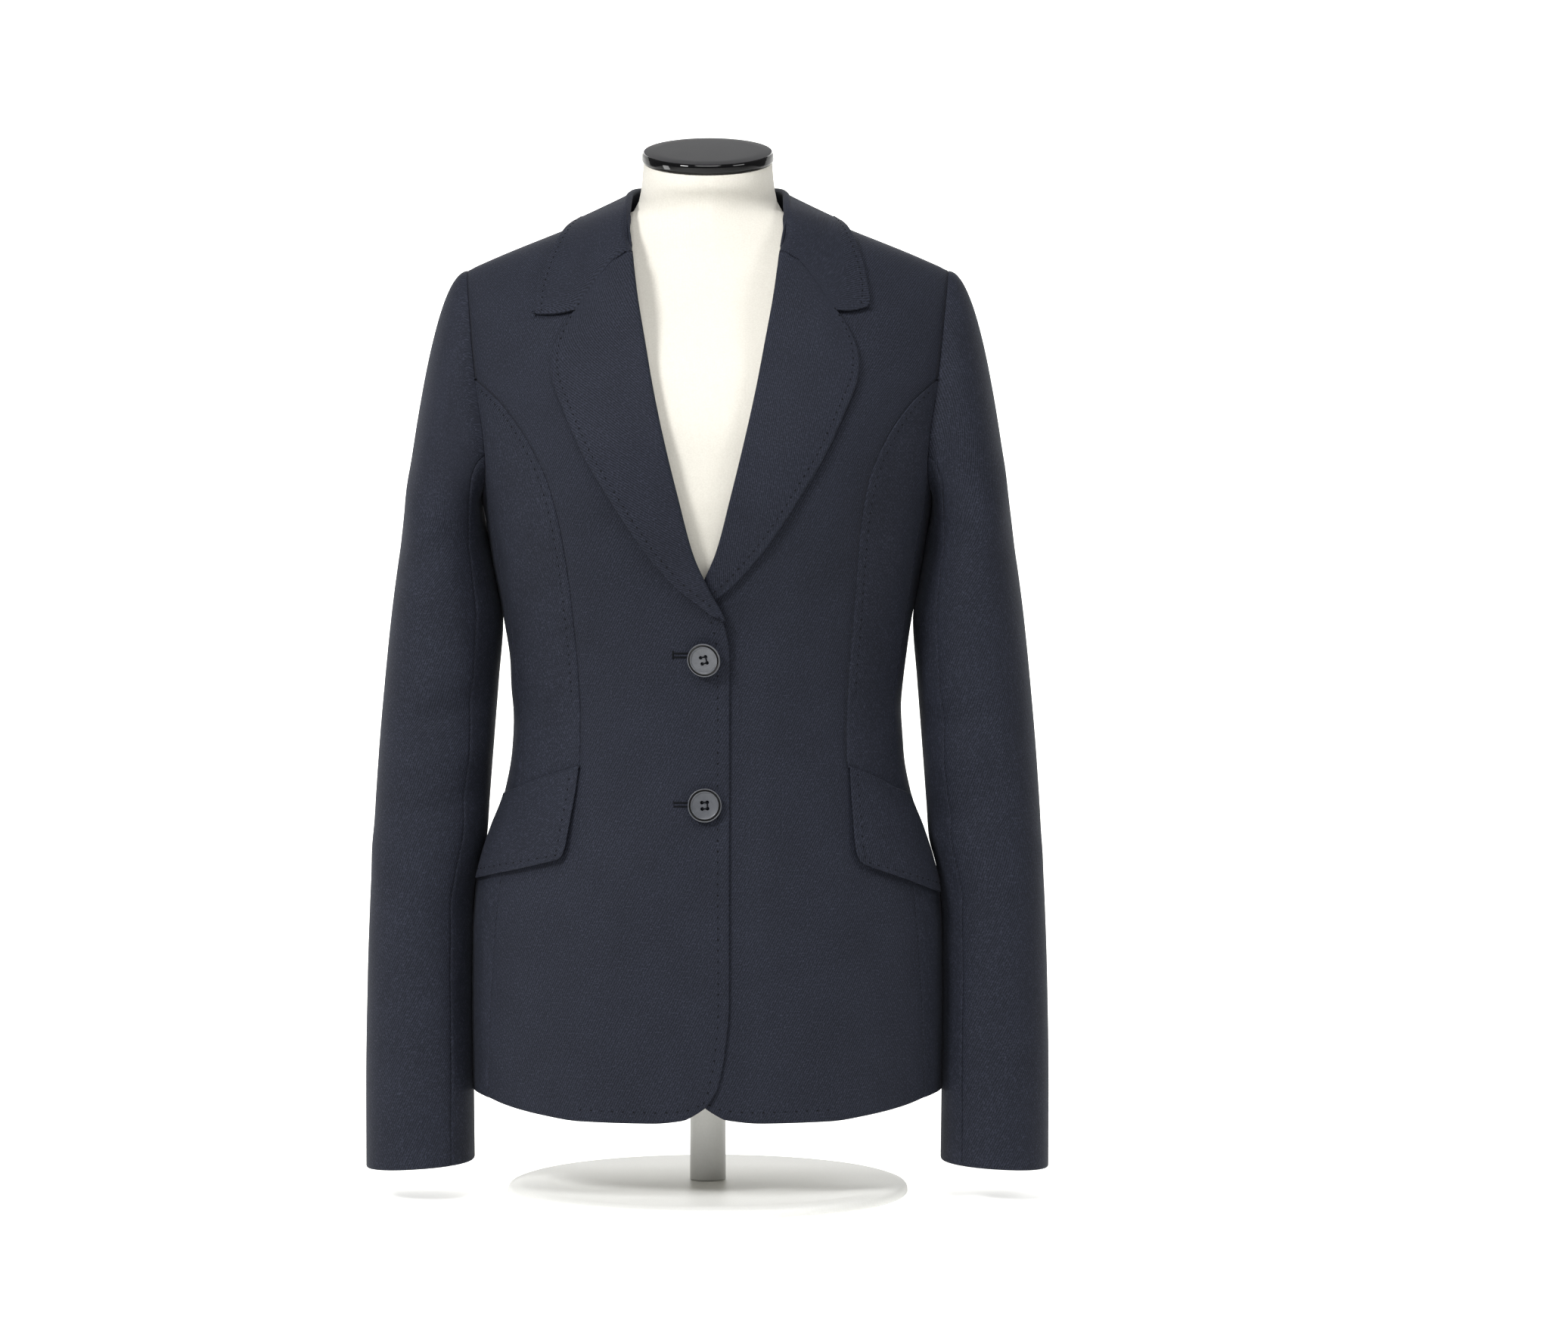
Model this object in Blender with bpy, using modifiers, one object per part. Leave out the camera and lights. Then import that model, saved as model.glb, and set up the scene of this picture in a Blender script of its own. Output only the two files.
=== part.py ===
# A tailored suit jacket, buttoned, on a limbless dress form that stands on a round base.
# Worked in millimetres and written to the meshes in metres. +Z is up, the front faces -Y, and
# +X is the wearer's left. The origin is on the floor, under the middle of the whole object.
#
# The jacket's body is one surface, the skin, known by an angle round the body (0 at the centre
# front, 90 at the side, 180 at the centre back) and a height. Every panel, lapel and flap is a
# grid of points on that skin, moved out or in by a stated amount.

import bisect
import math
from collections import namedtuple

import bmesh
import bpy
from mathutils import Vector
from mathutils.kdtree import KDTree

MM = 0.001

# Cloth and seams
CLOTH = 1.5
SEAM_GAP = 0.36
LEANING_GAP = 0.3  # each side of a seam on a tight curve, where both walls lean together
ARMHOLE_GAP = 1.3
ROLL_GAP = 0.8
BACK_HEAD_GAP = 1.1  # more of it behind the shoulder, where the sleeve head turns fastest
TIP_GAP = 0.6  # and at the pointed top of the side front
STAND_GAP = 0.5  # between the edge of the neck and the collar stand inside it
FRONT_POWER = 2.3
BACK_POWER = 2.4

# Body heights
JUNCTION_Z = 566.0  # where the princess seam runs into the armhole
SHOULDER_Z = 646.0
SHOULDER_X = 169.0
NECK_HALF = 61.0  # neck seam: half width, and how far it reaches behind the shoulder ridge
NECK_BACK = 56.6
RIDGE_Y = 6.0
RIDGE_ROUND = 78.0  # the height over which front and back turn over into the shoulder
BUST_X, BUST_Z, BUST_OUT = 84.0, 500.0, 9.0
BUST_SPREAD_X, BUST_SPREAD_Z = 50.0, 68.0

# Front edge, lapel and collar
BREAK_Z = 398.5
OVERLAP = 16.5
UNDER_DEPTH = 2.4  # how far the left front lies under the right one
UNDER_EXTRA = 4.0  # and how much deeper its lapel goes where the two cross
CROSSING_Z = 414.0
ROLL_RADIUS = 2.6
LAPEL_EDGE_OUT = 2.4
ROLL_OUT = 2 * ROLL_RADIUS - CLOTH

# Pockets and buttons
FLAP_INNER_X = 91.0
FLAP_TOP_Z = 301.0
FLAP_SLOPE = 0.37
FLAP_OUTER_ANGLE = 78.0
BUTTON_Z = (373.0, 274.0)
BUTTON_RADIUS = 11.5
BUTTON_STAND = 0.5

# Dress form
FORM_CLEAR = 6.0
FORM_BOTTOM = 100.0
CAP_RADIUS = 45.0
CAP_THICK = 8.0
CAP_TILT = math.radians(20.0)
NECK_TOP = 722.0
POLE_RADIUS = 12.5
BASE_RADIUS = 140.0
BASE_THICK = 9.0

Section = namedtuple("Section", "z wide front back")
BODY = (
    Section(40, 162, 107, 121),
    Section(75, 163.2, 108, 123),
    Section(130, 163.8, 109, 124.5),
    Section(180, 163, 108, 122),
    Section(214, 160.5, 106, 117),
    Section(235, 155.5, 104, 112),
    Section(256, 149, 101, 105),
    Section(280, 141.5, 98, 98),
    Section(310, 137, 96, 90),
    Section(341, 136, 96, 84),
    Section(372, 138, 99, 82),
    Section(401, 142.5, 104, 84),
    Section(430, 148.5, 111, 88),
    Section(455, 152.5, 117, 92),
    Section(484, 157.5, 121, 96),
    Section(506, 163, 121, 98.5),
    Section(530, 168, 117, 100),
    Section(560, 173, 107, 100.5),
    Section(590, 176.5, 94, 99),
    Section(615, 178.5, 84, 96.5),
    Section(640, 180, 76, 92),
    Section(670, 181, 71, 87),
    Section(710, 182, 68, 82),
)

# Height of the shoulder ridge across the body; inside the neck seam it is only a guide
Ridge = namedtuple("Ridge", "x z")
RIDGE = (
    Ridge(0, 704), Ridge(30, 700), Ridge(61, 689), Ridge(87, 679.5),
    Ridge(106, 672), Ridge(140, 658.5), Ridge(169, 646), Ridge(200, 632),
)

# Inner edge of a front: rounded corner, front edge, then the roll line up to the shoulder
Edge = namedtuple("Edge", "z x")
FRONT_EDGE = (
    Edge(72, -1.6), Edge(84, -8.5), Edge(110, -13.8), Edge(142, -OVERLAP), Edge(260, -OVERLAP),
    Edge(375, -OVERLAP), Edge(386, -15.2), Edge(BREAK_Z, -12), Edge(420, 0), Edge(442, 10),
    Edge(478, 19.6), Edge(518, 29.5), Edge(553, 37), Edge(591, 43.8), Edge(619, 48.6),
    Edge(640, 51.3), Edge(655, 53), Edge(668, 55.5), Edge(680, 58.5), Edge(689, NECK_HALF),
)
HEM = (
    Edge(72, -1.6), Edge(66.8, 6), Edge(62.5, 15), Edge(60.5, 36), Edge(61, 85),
    Edge(64.5, 115), Edge(69, 138), Edge(72.5, 152),
)
PRINCESS = (
    Edge(200, 91), Edge(301, 91), Edge(350, 91.7), Edge(384, 93.7), Edge(421, 97),
    Edge(460, 101.5), Edge(492, 108.5), Edge(518, 120), Edge(546, 139), Edge(JUNCTION_Z, 160),
)

# Seams and armhole as angles round the body
Seam = namedtuple("Seam", "z angle")
SIDE_SEAM = (
    Seam(60, 65), Seam(130, 62.5), Seam(222, 59), Seam(285, 64), Seam(341, 71), Seam(420, 73),
    Seam(500, 71),
)
BACK_SEAM = (Seam(60, 106), Seam(200, 108), Seam(341, 114), Seam(430, 115), Seam(505, 113))
ARMHOLE_FRONT = (
    Seam(484, 90), Seam(487, 80), Seam(495.5, 71), Seam(512, 66.3), Seam(535, 64.6),
    Seam(JUNCTION_Z, 65), Seam(599, 65.8), Seam(625, 67), Seam(SHOULDER_Z, 68.4),
)
ARMHOLE_BACK = (
    Seam(484, 90), Seam(488, 102), Seam(501, 112.5), Seam(522, 116.8), Seam(550, 118),
    Seam(585, 117), Seam(615, 115), Seam(SHOULDER_Z, 111.6),
)

# Outer edge of the lapel, from the break up round the belly to the notch
LAPEL_EDGE = (
    Edge(400.5, -9.5), Edge(403.5, -3), Edge(410, 5), Edge(421.5, 21), Edge(446.5, 40.5),
    Edge(478, 61.5), Edge(510, 80.5), Edge(540, 93.5), Edge(560, 100), Edge(576, 102.7),
    Edge(592, 100.3), Edge(601, 96), Edge(607.5, 91.5),
)
GORGE = (Edge(655, 53), Edge(647, 62.5), Edge(630, 76), Edge(615, 86.4), Edge(607.5, 91.5))
COLLAR_TIP = Edge(611.5, 114.5)

# Collar ribs from the gorge (0) to the centre back (1): top of the fold, and the outer edge,
# which is then laid on the skin
Rib = namedtuple("Rib", "t foldX foldY foldZ edgeX edgeY edgeZ")
COLLAR = (
    Rib(0.10, 53.6, -50, 667, 116.5, -70, 622),
    Rib(0.20, 55.0, -37, 680, 110.5, -54, 640),
    Rib(0.30, 55.6, -20, 691, 101.5, -31, 660),
    Rib(0.40, 54.6, 0, 700, 92.0, -4, 676),
    Rib(0.50, 51.6, 18, 705, 84.5, 21, 677),
    Rib(0.60, 46.0, 33, 707.5, 73.5, 42, 673),
    Rib(0.72, 36.0, 46, 709, 58.0, 62, 668),
    Rib(0.86, 19.5, 56, 710, 30.0, 76, 664),
    Rib(1.00, 0.0, 60, 710.5, 0.0, 80, 662.5),
)
RIB_STATIONS = (
    0, 0.06, 0.13, 0.2, 0.26, 0.31, 0.36, 0.41, 0.46, 0.51, 0.57, 0.65, 0.75, 0.87, 1.0,
)

# Sleeve sections below the armhole
Sleeve = namedtuple("Sleeve", "z inner outer front back")
SLEEVE = (
    Sleeve(452, 154.6, 214.5, -62, 66),
    Sleeve(425, 149.6, 218.3, -61, 62),
    Sleeve(401, 145.2, 221.2, -60, 58),
    Sleeve(360, 146.4, 225.2, -58, 52),
    Sleeve(315, 149.8, 229, -56, 47),
    Sleeve(276, 152.6, 231.6, -54.5, 43.5),
    Sleeve(250, 156, 233, -54, 41.5),
    Sleeve(228, 161, 234.2, -53.5, 40),
    Sleeve(205, 164.4, 235.3, -53.5, 38.5),
    Sleeve(150, 165.1, 237, -53.5, 36.5),
    Sleeve(85, 164.9, 237.8, -55.5, 34),
    Sleeve(23, 164.2, 237.4, -57, 31.5),
)
SLEEVE_POWER = 2.25
SLEEVE_SIDES = 28
CAP_ROWS = 6
SLEEVE_GAP = 0.66  # each side of a sleeve seam
FRONT_SEAM_STEP = 10  # ring points counted from the shoulder to the front and back sleeve seams
BACK_SEAM_STEP = 18

# Handles of the curves that carry the sleeve head from the armhole down to the biceps section
Handle = namedtuple("Handle", "turn startX startY startZ endX endY endZ")
HEAD = (
    Handle(0.00, 21, 0, 0, -11, 0, 95),
    Handle(0.25, 21, -9, -8, -3, 2, 48),
    Handle(0.50, 1.6, 0, -9, 1.5, 0, 10),
    Handle(0.75, 21, 9, -8, -3, -2, 48),
    Handle(1.00, 21, 0, 0, -11, 0, 95),
)

FormRow = namedtuple("FormRow", "z wide front back power")
FORM_NECK = (
    FormRow(600, 157, 74, 86, 2.2),
    FormRow(622, 155, 64, 80, 2.0),
    FormRow(640, 147, 56, 76, 1.75),
    FormRow(655, 134, 50, 68, 1.55),
    FormRow(668, 107, 47, 60, 1.5),
    FormRow(679, 76, 45, 49, 1.5),
    FormRow(688, 51.5, 44, 41, 1.8),
    FormRow(698, 47.5, 43.5, 44.5, 2.0),
    FormRow(709, 46, 43.5, 44.5, 2.0),
    FormRow(NECK_TOP, 45, 44, 44, 2.0),
)

NAVY = (0.016, 0.019, 0.027)
CREAM = (0.72, 0.68, 0.58)


def clamp(value, low=0.0, high=1.0):
    return max(low, min(high, value))


def soft(value):
    value = clamp(value)
    return value * value * (3 - 2 * value)


def lerp(a, b, t):
    return a + (b - a) * t


def along(rows, key, name, value):
    """The named column at a value of the key column, on a smooth curve through the rows."""
    keys = [getattr(row, key) for row in rows]
    values = [getattr(row, name) for row in rows]
    if keys[0] > keys[-1]:
        keys.reverse()
        values.reverse()
    if value <= keys[0]:
        return values[0]
    if value >= keys[-1]:
        return values[-1]
    i = bisect.bisect_right(keys, value) - 1
    slopes = [(values[k + 1] - values[k]) / (keys[k + 1] - keys[k]) for k in range(len(keys) - 1)]

    def tangent(k):
        if k == 0:
            return slopes[0]
        if k == len(keys) - 1:
            return slopes[-1]
        before, after = slopes[k - 1], slopes[k]
        if before * after <= 0:
            return 0.0
        return 2 * before * after / (before + after)

    span = keys[i + 1] - keys[i]
    t = (value - keys[i]) / span
    h00 = 2 * t**3 - 3 * t**2 + 1
    h10 = t**3 - 2 * t**2 + t
    h01 = -2 * t**3 + 3 * t**2
    h11 = t**3 - t**2
    return (
        h00 * values[i] + h10 * span * tangent(i) + h01 * values[i + 1] + h11 * span * tangent(i + 1)
    )


def ridge_z(x):
    return along(RIDGE, "x", "z", abs(x))


# The skin of the body

def power(back):
    return BACK_POWER if back else FRONT_POWER


def angle_of(x, z, back=False):
    """Degrees round the body of the skin point that lies at this x, in front or behind."""
    share = clamp(abs(x) / along(BODY, "z", "wide", z), 0.0, 0.9995)
    angle = math.degrees(math.asin(share ** (power(back) / 2)))
    if back:
        angle = 180 - angle
    return math.copysign(angle, x) if x else angle


def x_of(angle, z):
    """Distance from the centre of the skin point at this angle."""
    share = abs(math.sin(math.radians(angle)))
    return along(BODY, "z", "wide", z) * share ** (2 / power(abs(angle) > 90))


def skin(angle, z, out=0.0):
    """Point of the jacket's outer face, or one moved off it along the face's normal."""
    here = skin_point(angle, z)
    if not out:
        return here
    return here + skin_normal(angle, z) * out


def skin_point(angle, z):
    back = abs(angle) > 90
    x = math.copysign(x_of(angle, z), angle)
    depth = along(BODY, "z", "back" if back else "front", z)
    y = depth * abs(math.cos(math.radians(angle))) ** (2 / power(back))
    if not back:
        bump_x = ((abs(x) - BUST_X) / BUST_SPREAD_X) ** 2
        bump_z = ((z - BUST_Z) / BUST_SPREAD_Z) ** 2
        y += BUST_OUT * math.exp(-bump_x - bump_z) * soft(abs(math.cos(math.radians(angle))) * 2)
        y = -y
    q = clamp((ridge_z(x) - z) / RIDGE_ROUND)
    rise = math.sqrt(max(0.0, 1 - (1 - q) ** 2))
    return Vector((x, RIDGE_Y + (y - RIDGE_Y) * rise, z))


def skin_normal(angle, z):
    step_angle = 0.4
    step_z = 0.8
    angle = clamp(angle, step_angle - 179.9, 179.9 - step_angle)
    round_way = skin_point(angle + step_angle, z) - skin_point(angle - step_angle, z)
    up_way = skin_point(angle, z) - skin_point(angle, z - step_z)
    normal = round_way.cross(up_way).normalized()
    return normal


def skin_at(x, z, out=0.0, back=False):
    return skin(angle_of(x, z, back), z, out)


def hem_z(x):
    return along(HEM, "x", "z", x)


def hem_height(angle):
    """Hem of the side and back panels: level behind, rising a little at the side."""
    return lerp(72.5, 69.0, soft((abs(angle) - 70) / 90))


def pocket_z(x):
    return FLAP_TOP_Z - max(0.0, x - FLAP_INNER_X) * FLAP_SLOPE


def under(x, z):
    """How far the left front sinks at this place, to pass under the right one."""
    overlap = UNDER_DEPTH * soft((44 - x) / 24)
    crossing = UNDER_EXTRA * soft((66 - x) / 40)
    if z > CROSSING_Z:
        crossing *= 1 - soft((z - CROSSING_Z - 12) / 62)
        overlap *= 1 - soft((z - CROSSING_Z - 30) / 70)
    else:
        crossing *= 1 - soft((CROSSING_Z - 26 - z) / 40)
    return -(overlap + crossing)


def front_edge_x(z):
    return along(FRONT_EDGE, "z", "x", z)


def princess_x(z):
    return along(PRINCESS, "z", "x", z)


def armhole_front(z):
    return along(ARMHOLE_FRONT, "z", "angle", z)


def armhole_back(z):
    return along(ARMHOLE_BACK, "z", "angle", z)


def side_seam(z):
    return along(SIDE_SEAM, "z", "angle", z)


def back_seam(z):
    return along(BACK_SEAM, "z", "angle", z)


def armhole_floor(angle):
    """Height of the armhole's lower edge at an angle near the side."""
    rows = [row for row in ARMHOLE_FRONT if row.angle >= 66 and row.z < 520]
    if angle > 90:
        rows = [row for row in ARMHOLE_BACK if row.z < 530]
    return along(sorted(rows, key=lambda row: row.angle), "angle", "z", angle)


# Sheets of cloth

def mirrored(grid):
    """The same grid on the other side of the body, its columns turned round to keep facing out."""
    return [[p and Vector((-p.x, p.y, p.z)) for p in reversed(row)] for row in grid]


def drawn_in(grid, sides="lrbt", gap=SEAM_GAP / 2):
    """Moves the grid's outer points in by half a seam's gap."""
    rows, columns = len(grid), len(grid[0])
    moves = []
    for j in range(rows):
        for i in range(columns):
            if i == 0 and "l" in sides:
                moves.append((j, i, j, i + 1))
            if i == columns - 1 and "r" in sides:
                moves.append((j, i, j, i - 1))
            if j == 0 and "b" in sides:
                moves.append((j, i, j + 1, i))
            if j == rows - 1 and "t" in sides:
                moves.append((j, i, j - 1, i))
    shift = {}
    for j, i, nj, ni in moves:
        if grid[j][i] is None or grid[nj][ni] is None:
            continue
        step = (grid[nj][ni] - grid[j][i]).normalized() * gap
        shift[(j, i)] = shift.get((j, i), Vector()) + step
    for (j, i), step in shift.items():
        grid[j][i] = grid[j][i] + step
    return grid


def material(name, colour, roughness, metallic=0.0, coat=0.0):
    made = bpy.data.materials.new(name)
    made.use_nodes = True
    shader = made.node_tree.nodes["Principled BSDF"]
    shader.inputs["Base Color"].default_value = (*colour, 1.0)
    shader.inputs["Roughness"].default_value = roughness
    shader.inputs["Metallic"].default_value = metallic
    shader.inputs["Coat Weight"].default_value = coat
    made.diffuse_color = (*colour, 1.0)
    return made


def add_object(name, mesh, collection, finish, smooth_angle=40):
    obj = bpy.data.objects.new(name, mesh)
    collection.objects.link(obj)
    mesh.materials.append(finish)
    mesh.shade_smooth()
    mesh.set_sharp_from_angle(angle=math.radians(smooth_angle))
    return obj


def sheet(name, grid, collection, finish, thick=CLOTH, offset=-1.0):
    """One panel: a grid of points, row by row upwards, thickened on its inner side."""
    made = bmesh.new()
    verts = [[p and made.verts.new(p * MM) for p in row] for row in grid]
    for j in range(len(grid) - 1):
        for i in range(len(grid[0]) - 1):
            corners = (verts[j][i], verts[j][i + 1], verts[j + 1][i + 1], verts[j + 1][i])
            if all(corners):
                made.faces.new(corners)
    for vert in [v for v in made.verts if not v.link_faces]:
        made.verts.remove(vert)
    mesh = bpy.data.meshes.new(name)
    made.to_mesh(mesh)
    made.free()
    obj = add_object(name, mesh, collection, finish)
    wall = obj.modifiers.new("Cloth", "SOLIDIFY")
    wall.thickness = thick * MM
    wall.offset = offset
    return obj


# Body panels, all for the wearer's left (+X)

FRONT_COLUMNS = 8
POCKET_COLUMNS = 4
LOW_ROWS = 6
MID_ROWS = 9
TOP_ROWS = 8
SIDE_MID_ROWS = 6  # of the middle rows, those below the armhole
SIDE_TOP_Z = 495.5
POCKET_SIDE_Z = 285.0


def front_grid(sink):
    """Front: from the hem to the shoulder, with the extra columns that run on under the pocket."""
    columns = FRONT_COLUMNS + POCKET_COLUMNS
    grid = []
    for j in range(LOW_ROWS + MID_ROWS + TOP_ROWS + 1):
        row = []
        for i in range(columns + 1):
            c = min(1.0, i / FRONT_COLUMNS)
            if j <= LOW_ROWS:
                v = j / LOW_ROWS
                inner_z = lerp(FRONT_EDGE[0].z, FLAP_TOP_Z, v)
                mid_x = lerp(97.0, FLAP_INNER_X, v)
                x = lerp(front_edge_x(inner_z), mid_x, c)
                bottom_x = lerp(FRONT_EDGE[0].x, 97.0, c)
                if i > FRONT_COLUMNS:
                    c = (i - FRONT_COLUMNS) / POCKET_COLUMNS
                    bottom = lerp(hem_z(97.0), hem_height(side_seam(70)), soft(c))
                    z = lerp(bottom, lerp(FLAP_TOP_Z, POCKET_SIDE_Z, c), v)
                    angle = lerp(angle_of(mid_x, z), side_seam(z), c)
                    row.append(skin(angle, z))
                    continue
                z = lerp(hem_z(bottom_x), FLAP_TOP_Z, v)
            elif i > FRONT_COLUMNS:
                row.append(None)
                continue
            elif j <= LOW_ROWS + MID_ROWS:
                z = lerp(FLAP_TOP_Z, JUNCTION_Z, (j - LOW_ROWS) / MID_ROWS)
                x = lerp(front_edge_x(z), princess_x(z), c)
            else:
                f = 1 - (1 - (j - LOW_ROWS - MID_ROWS) / TOP_ROWS) ** 2
                inner_z = lerp(JUNCTION_Z, ridge_z(NECK_HALF), f)
                outer_z = lerp(JUNCTION_Z, SHOULDER_Z, f)
                x = lerp(front_edge_x(inner_z), x_of(armhole_front(outer_z), outer_z), c)
                z = lerp(JUNCTION_Z, ridge_z(max(x, NECK_HALF)), f)
            point = skin_at(x, z) if x else skin(0.0, z)
            if sink:
                point = skin_at(x, z, under(x, z))
            row.append(point)
        grid.append(row)
    return grid


def front_drawn_in(grid):
    """Half a seam's gap all round the front, and along the pocket line and princess seam."""
    gap = SEAM_GAP / 2
    drawn_in(grid, "lrb")
    for i in range(FRONT_COLUMNS + 1):
        step = grid[-2][i] - grid[-1][i]
        grid[-1][i] = grid[-1][i] + step.normalized() * LEANING_GAP
    for j in range(LOW_ROWS + 1, len(grid)):
        step = grid[j][FRONT_COLUMNS - 1] - grid[j][FRONT_COLUMNS]
        grid[j][FRONT_COLUMNS] = grid[j][FRONT_COLUMNS] + step.normalized() * gap
    for i in range(FRONT_COLUMNS + 1, len(grid[0])):
        step = grid[LOW_ROWS - 1][i] - grid[LOW_ROWS][i]
        grid[LOW_ROWS][i] = grid[LOW_ROWS][i] + step.normalized() * gap
    return grid


def side_front_grid(columns=4):
    """Between the princess seam and the side panel, from the pocket to the armhole."""
    grid = []
    for j in range(MID_ROWS + 1):
        inner_z = lerp(FLAP_TOP_Z, JUNCTION_Z, j / MID_ROWS)
        inner_x = princess_x(inner_z)
        if j == MID_ROWS:
            before = lerp(FLAP_TOP_Z, JUNCTION_Z, (j - 1) / MID_ROWS)
            share = (JUNCTION_Z - 5 - before) / (JUNCTION_Z - before)
            inner_z = JUNCTION_Z - 5
            inner_x = lerp(princess_x(before), princess_x(JUNCTION_Z), share)
        if j <= SIDE_MID_ROWS:
            outer_z = lerp(POCKET_SIDE_Z, SIDE_TOP_Z, j / SIDE_MID_ROWS)
            outer = side_seam(outer_z)
        else:
            share = (j - SIDE_MID_ROWS) / (MID_ROWS - SIDE_MID_ROWS)
            outer_z = lerp(SIDE_TOP_Z, JUNCTION_Z - 4, share)
            outer = armhole_front(outer_z)
        inner = angle_of(inner_x, inner_z)
        row = []
        for i in range(columns + 1):
            u = i / columns
            row.append(skin(lerp(inner, outer, u), lerp(inner_z, outer_z, u)))
        grid.append(row)
    drawn_in(grid, "lrbt", LEANING_GAP)
    tip, beside = grid[-1][0], grid[-1][1]
    grid[-1][0] = tip + (beside - tip).normalized() * TIP_GAP
    return grid


def side_level(j, bottom, top):
    """Height of a row of the side panel and of the back beside it."""
    if j <= LOW_ROWS:
        return lerp(bottom, POCKET_SIDE_Z, j / LOW_ROWS)
    return lerp(POCKET_SIDE_Z, top, (j - LOW_ROWS) / SIDE_MID_ROWS)


def side_grid(columns=6):
    grid = []
    for j in range(LOW_ROWS + SIDE_MID_ROWS + 1):
        row = []
        for i in range(columns + 1):
            u = i / columns
            top_angle = lerp(71.0, 112.5, u)
            bottom = hem_height(lerp(side_seam(70), back_seam(70), u))
            z = side_level(j, bottom, armhole_floor(top_angle))
            row.append(skin(lerp(side_seam(z), back_seam(z), u), z))
        grid.append(row)
    drawn_in(grid, "bt")
    return drawn_in(grid, "lr", LEANING_GAP)


def neck_point(x, back):
    """Height of the neck seam on the skin, where its plan is an ellipse about the ridge."""
    y = RIDGE_Y + NECK_BACK * math.sqrt(max(0.0, 1 - (x / NECK_HALF) ** 2))
    z = ridge_z(x)
    for _ in range(6):
        depth = skin_depth(x, z, back)
        rise = clamp((y - RIDGE_Y) / (depth - RIDGE_Y), 0.0, 0.999)
        z = ridge_z(x) - RIDGE_ROUND * (1 - math.sqrt(1 - rise * rise))
    return z


def skin_depth(x, z, back):
    """Depth of the body at this x before the shoulder turns it over."""
    share = clamp(abs(x) / along(BODY, "z", "wide", z), 0.0, 1.0)
    n = power(back)
    flat = (1 - share**n) ** (1 / n)
    return along(BODY, "z", "back" if back else "front", z) * flat


BACK_SHARES = (0.0, 0.14, 0.26, 0.36, 0.48, 0.62, 0.76, 0.87, 0.95, 1.0)
BACK_LOW_ROWS = LOW_ROWS + SIDE_MID_ROWS
BACK_TOP_ROWS = 11
BACK_ARMHOLE_Z = 501.0


def back_grid():
    """Back: columns from the side seam or armhole in to the centre back seam."""
    grid = []
    for j in range(BACK_LOW_ROWS + BACK_TOP_ROWS + 1):
        row = []
        for share in reversed(BACK_SHARES):
            if j <= BACK_LOW_ROWS:
                z = side_level(j, hem_height(lerp(180, back_seam(70), share)), BACK_ARMHOLE_Z)
                outer = back_seam(z)
                x = x_of(outer, z) * share
                angle = outer if share == 1.0 else angle_of(x, z, True)
                row.append(skin(angle, z))
                continue
            f = 1 - (1 - (j - BACK_LOW_ROWS) / BACK_TOP_ROWS) ** 2
            outer_z = lerp(BACK_ARMHOLE_Z, SHOULDER_Z, f)
            x = x_of(armhole_back(outer_z), outer_z) * share
            blend = lerp(x, SHOULDER_X * share, soft(f))
            top = ridge_z(blend) if blend >= NECK_HALF - 0.5 else neck_point(blend, True)
            z = lerp(BACK_ARMHOLE_Z, top, f)
            row.append(skin_at(blend, z, 0.0, True) if blend else skin(180.0, z))
        grid.append(row)
    drawn_in(grid, "rb")
    drawn_in(grid, "l", LEANING_GAP)
    return drawn_in(grid, "t", LEANING_GAP)


# Lapel

def path_point(rows, share):
    """(x, z) at a share of the length of a line through the rows."""
    lengths = [0.0]
    for a, b in zip(rows, rows[1:]):
        lengths.append(lengths[-1] + math.hypot(b.x - a.x, b.z - a.z))
    want = share * lengths[-1]
    i = min(len(rows) - 2, max(0, bisect.bisect_right(lengths, want) - 1))
    t = clamp((want - lengths[i]) / (lengths[i + 1] - lengths[i]))
    return lerp(rows[i].x, rows[i + 1].x, t), lerp(rows[i].z, rows[i + 1].z, t)


ROLL_STEPS = 5
LAPEL_STEPS = 6
LAPEL_ROWS = 16
ROLL_LINE = tuple(row for row in FRONT_EDGE if BREAK_Z <= row.z <= 655)


def roll_frame(share, sink):
    """Point, normal and direction towards the opening at a share of the roll line."""
    x, z = path_point(ROLL_LINE, share)
    ahead_x, ahead_z = path_point(ROLL_LINE, min(1.0, share + 0.01))
    behind_x, behind_z = path_point(ROLL_LINE, max(0.0, share - 0.01))
    sunk = under(x, z) if sink else 0.0
    point = skin_at(x, z, sunk)
    normal = skin_normal(angle_of(x, z), z)
    line = (skin_at(ahead_x, ahead_z) - skin_at(behind_x, behind_z)).normalized()
    towards = normal.cross(line).normalized()
    if towards.x > 0:
        towards.negate()
    return point, normal, towards


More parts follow.
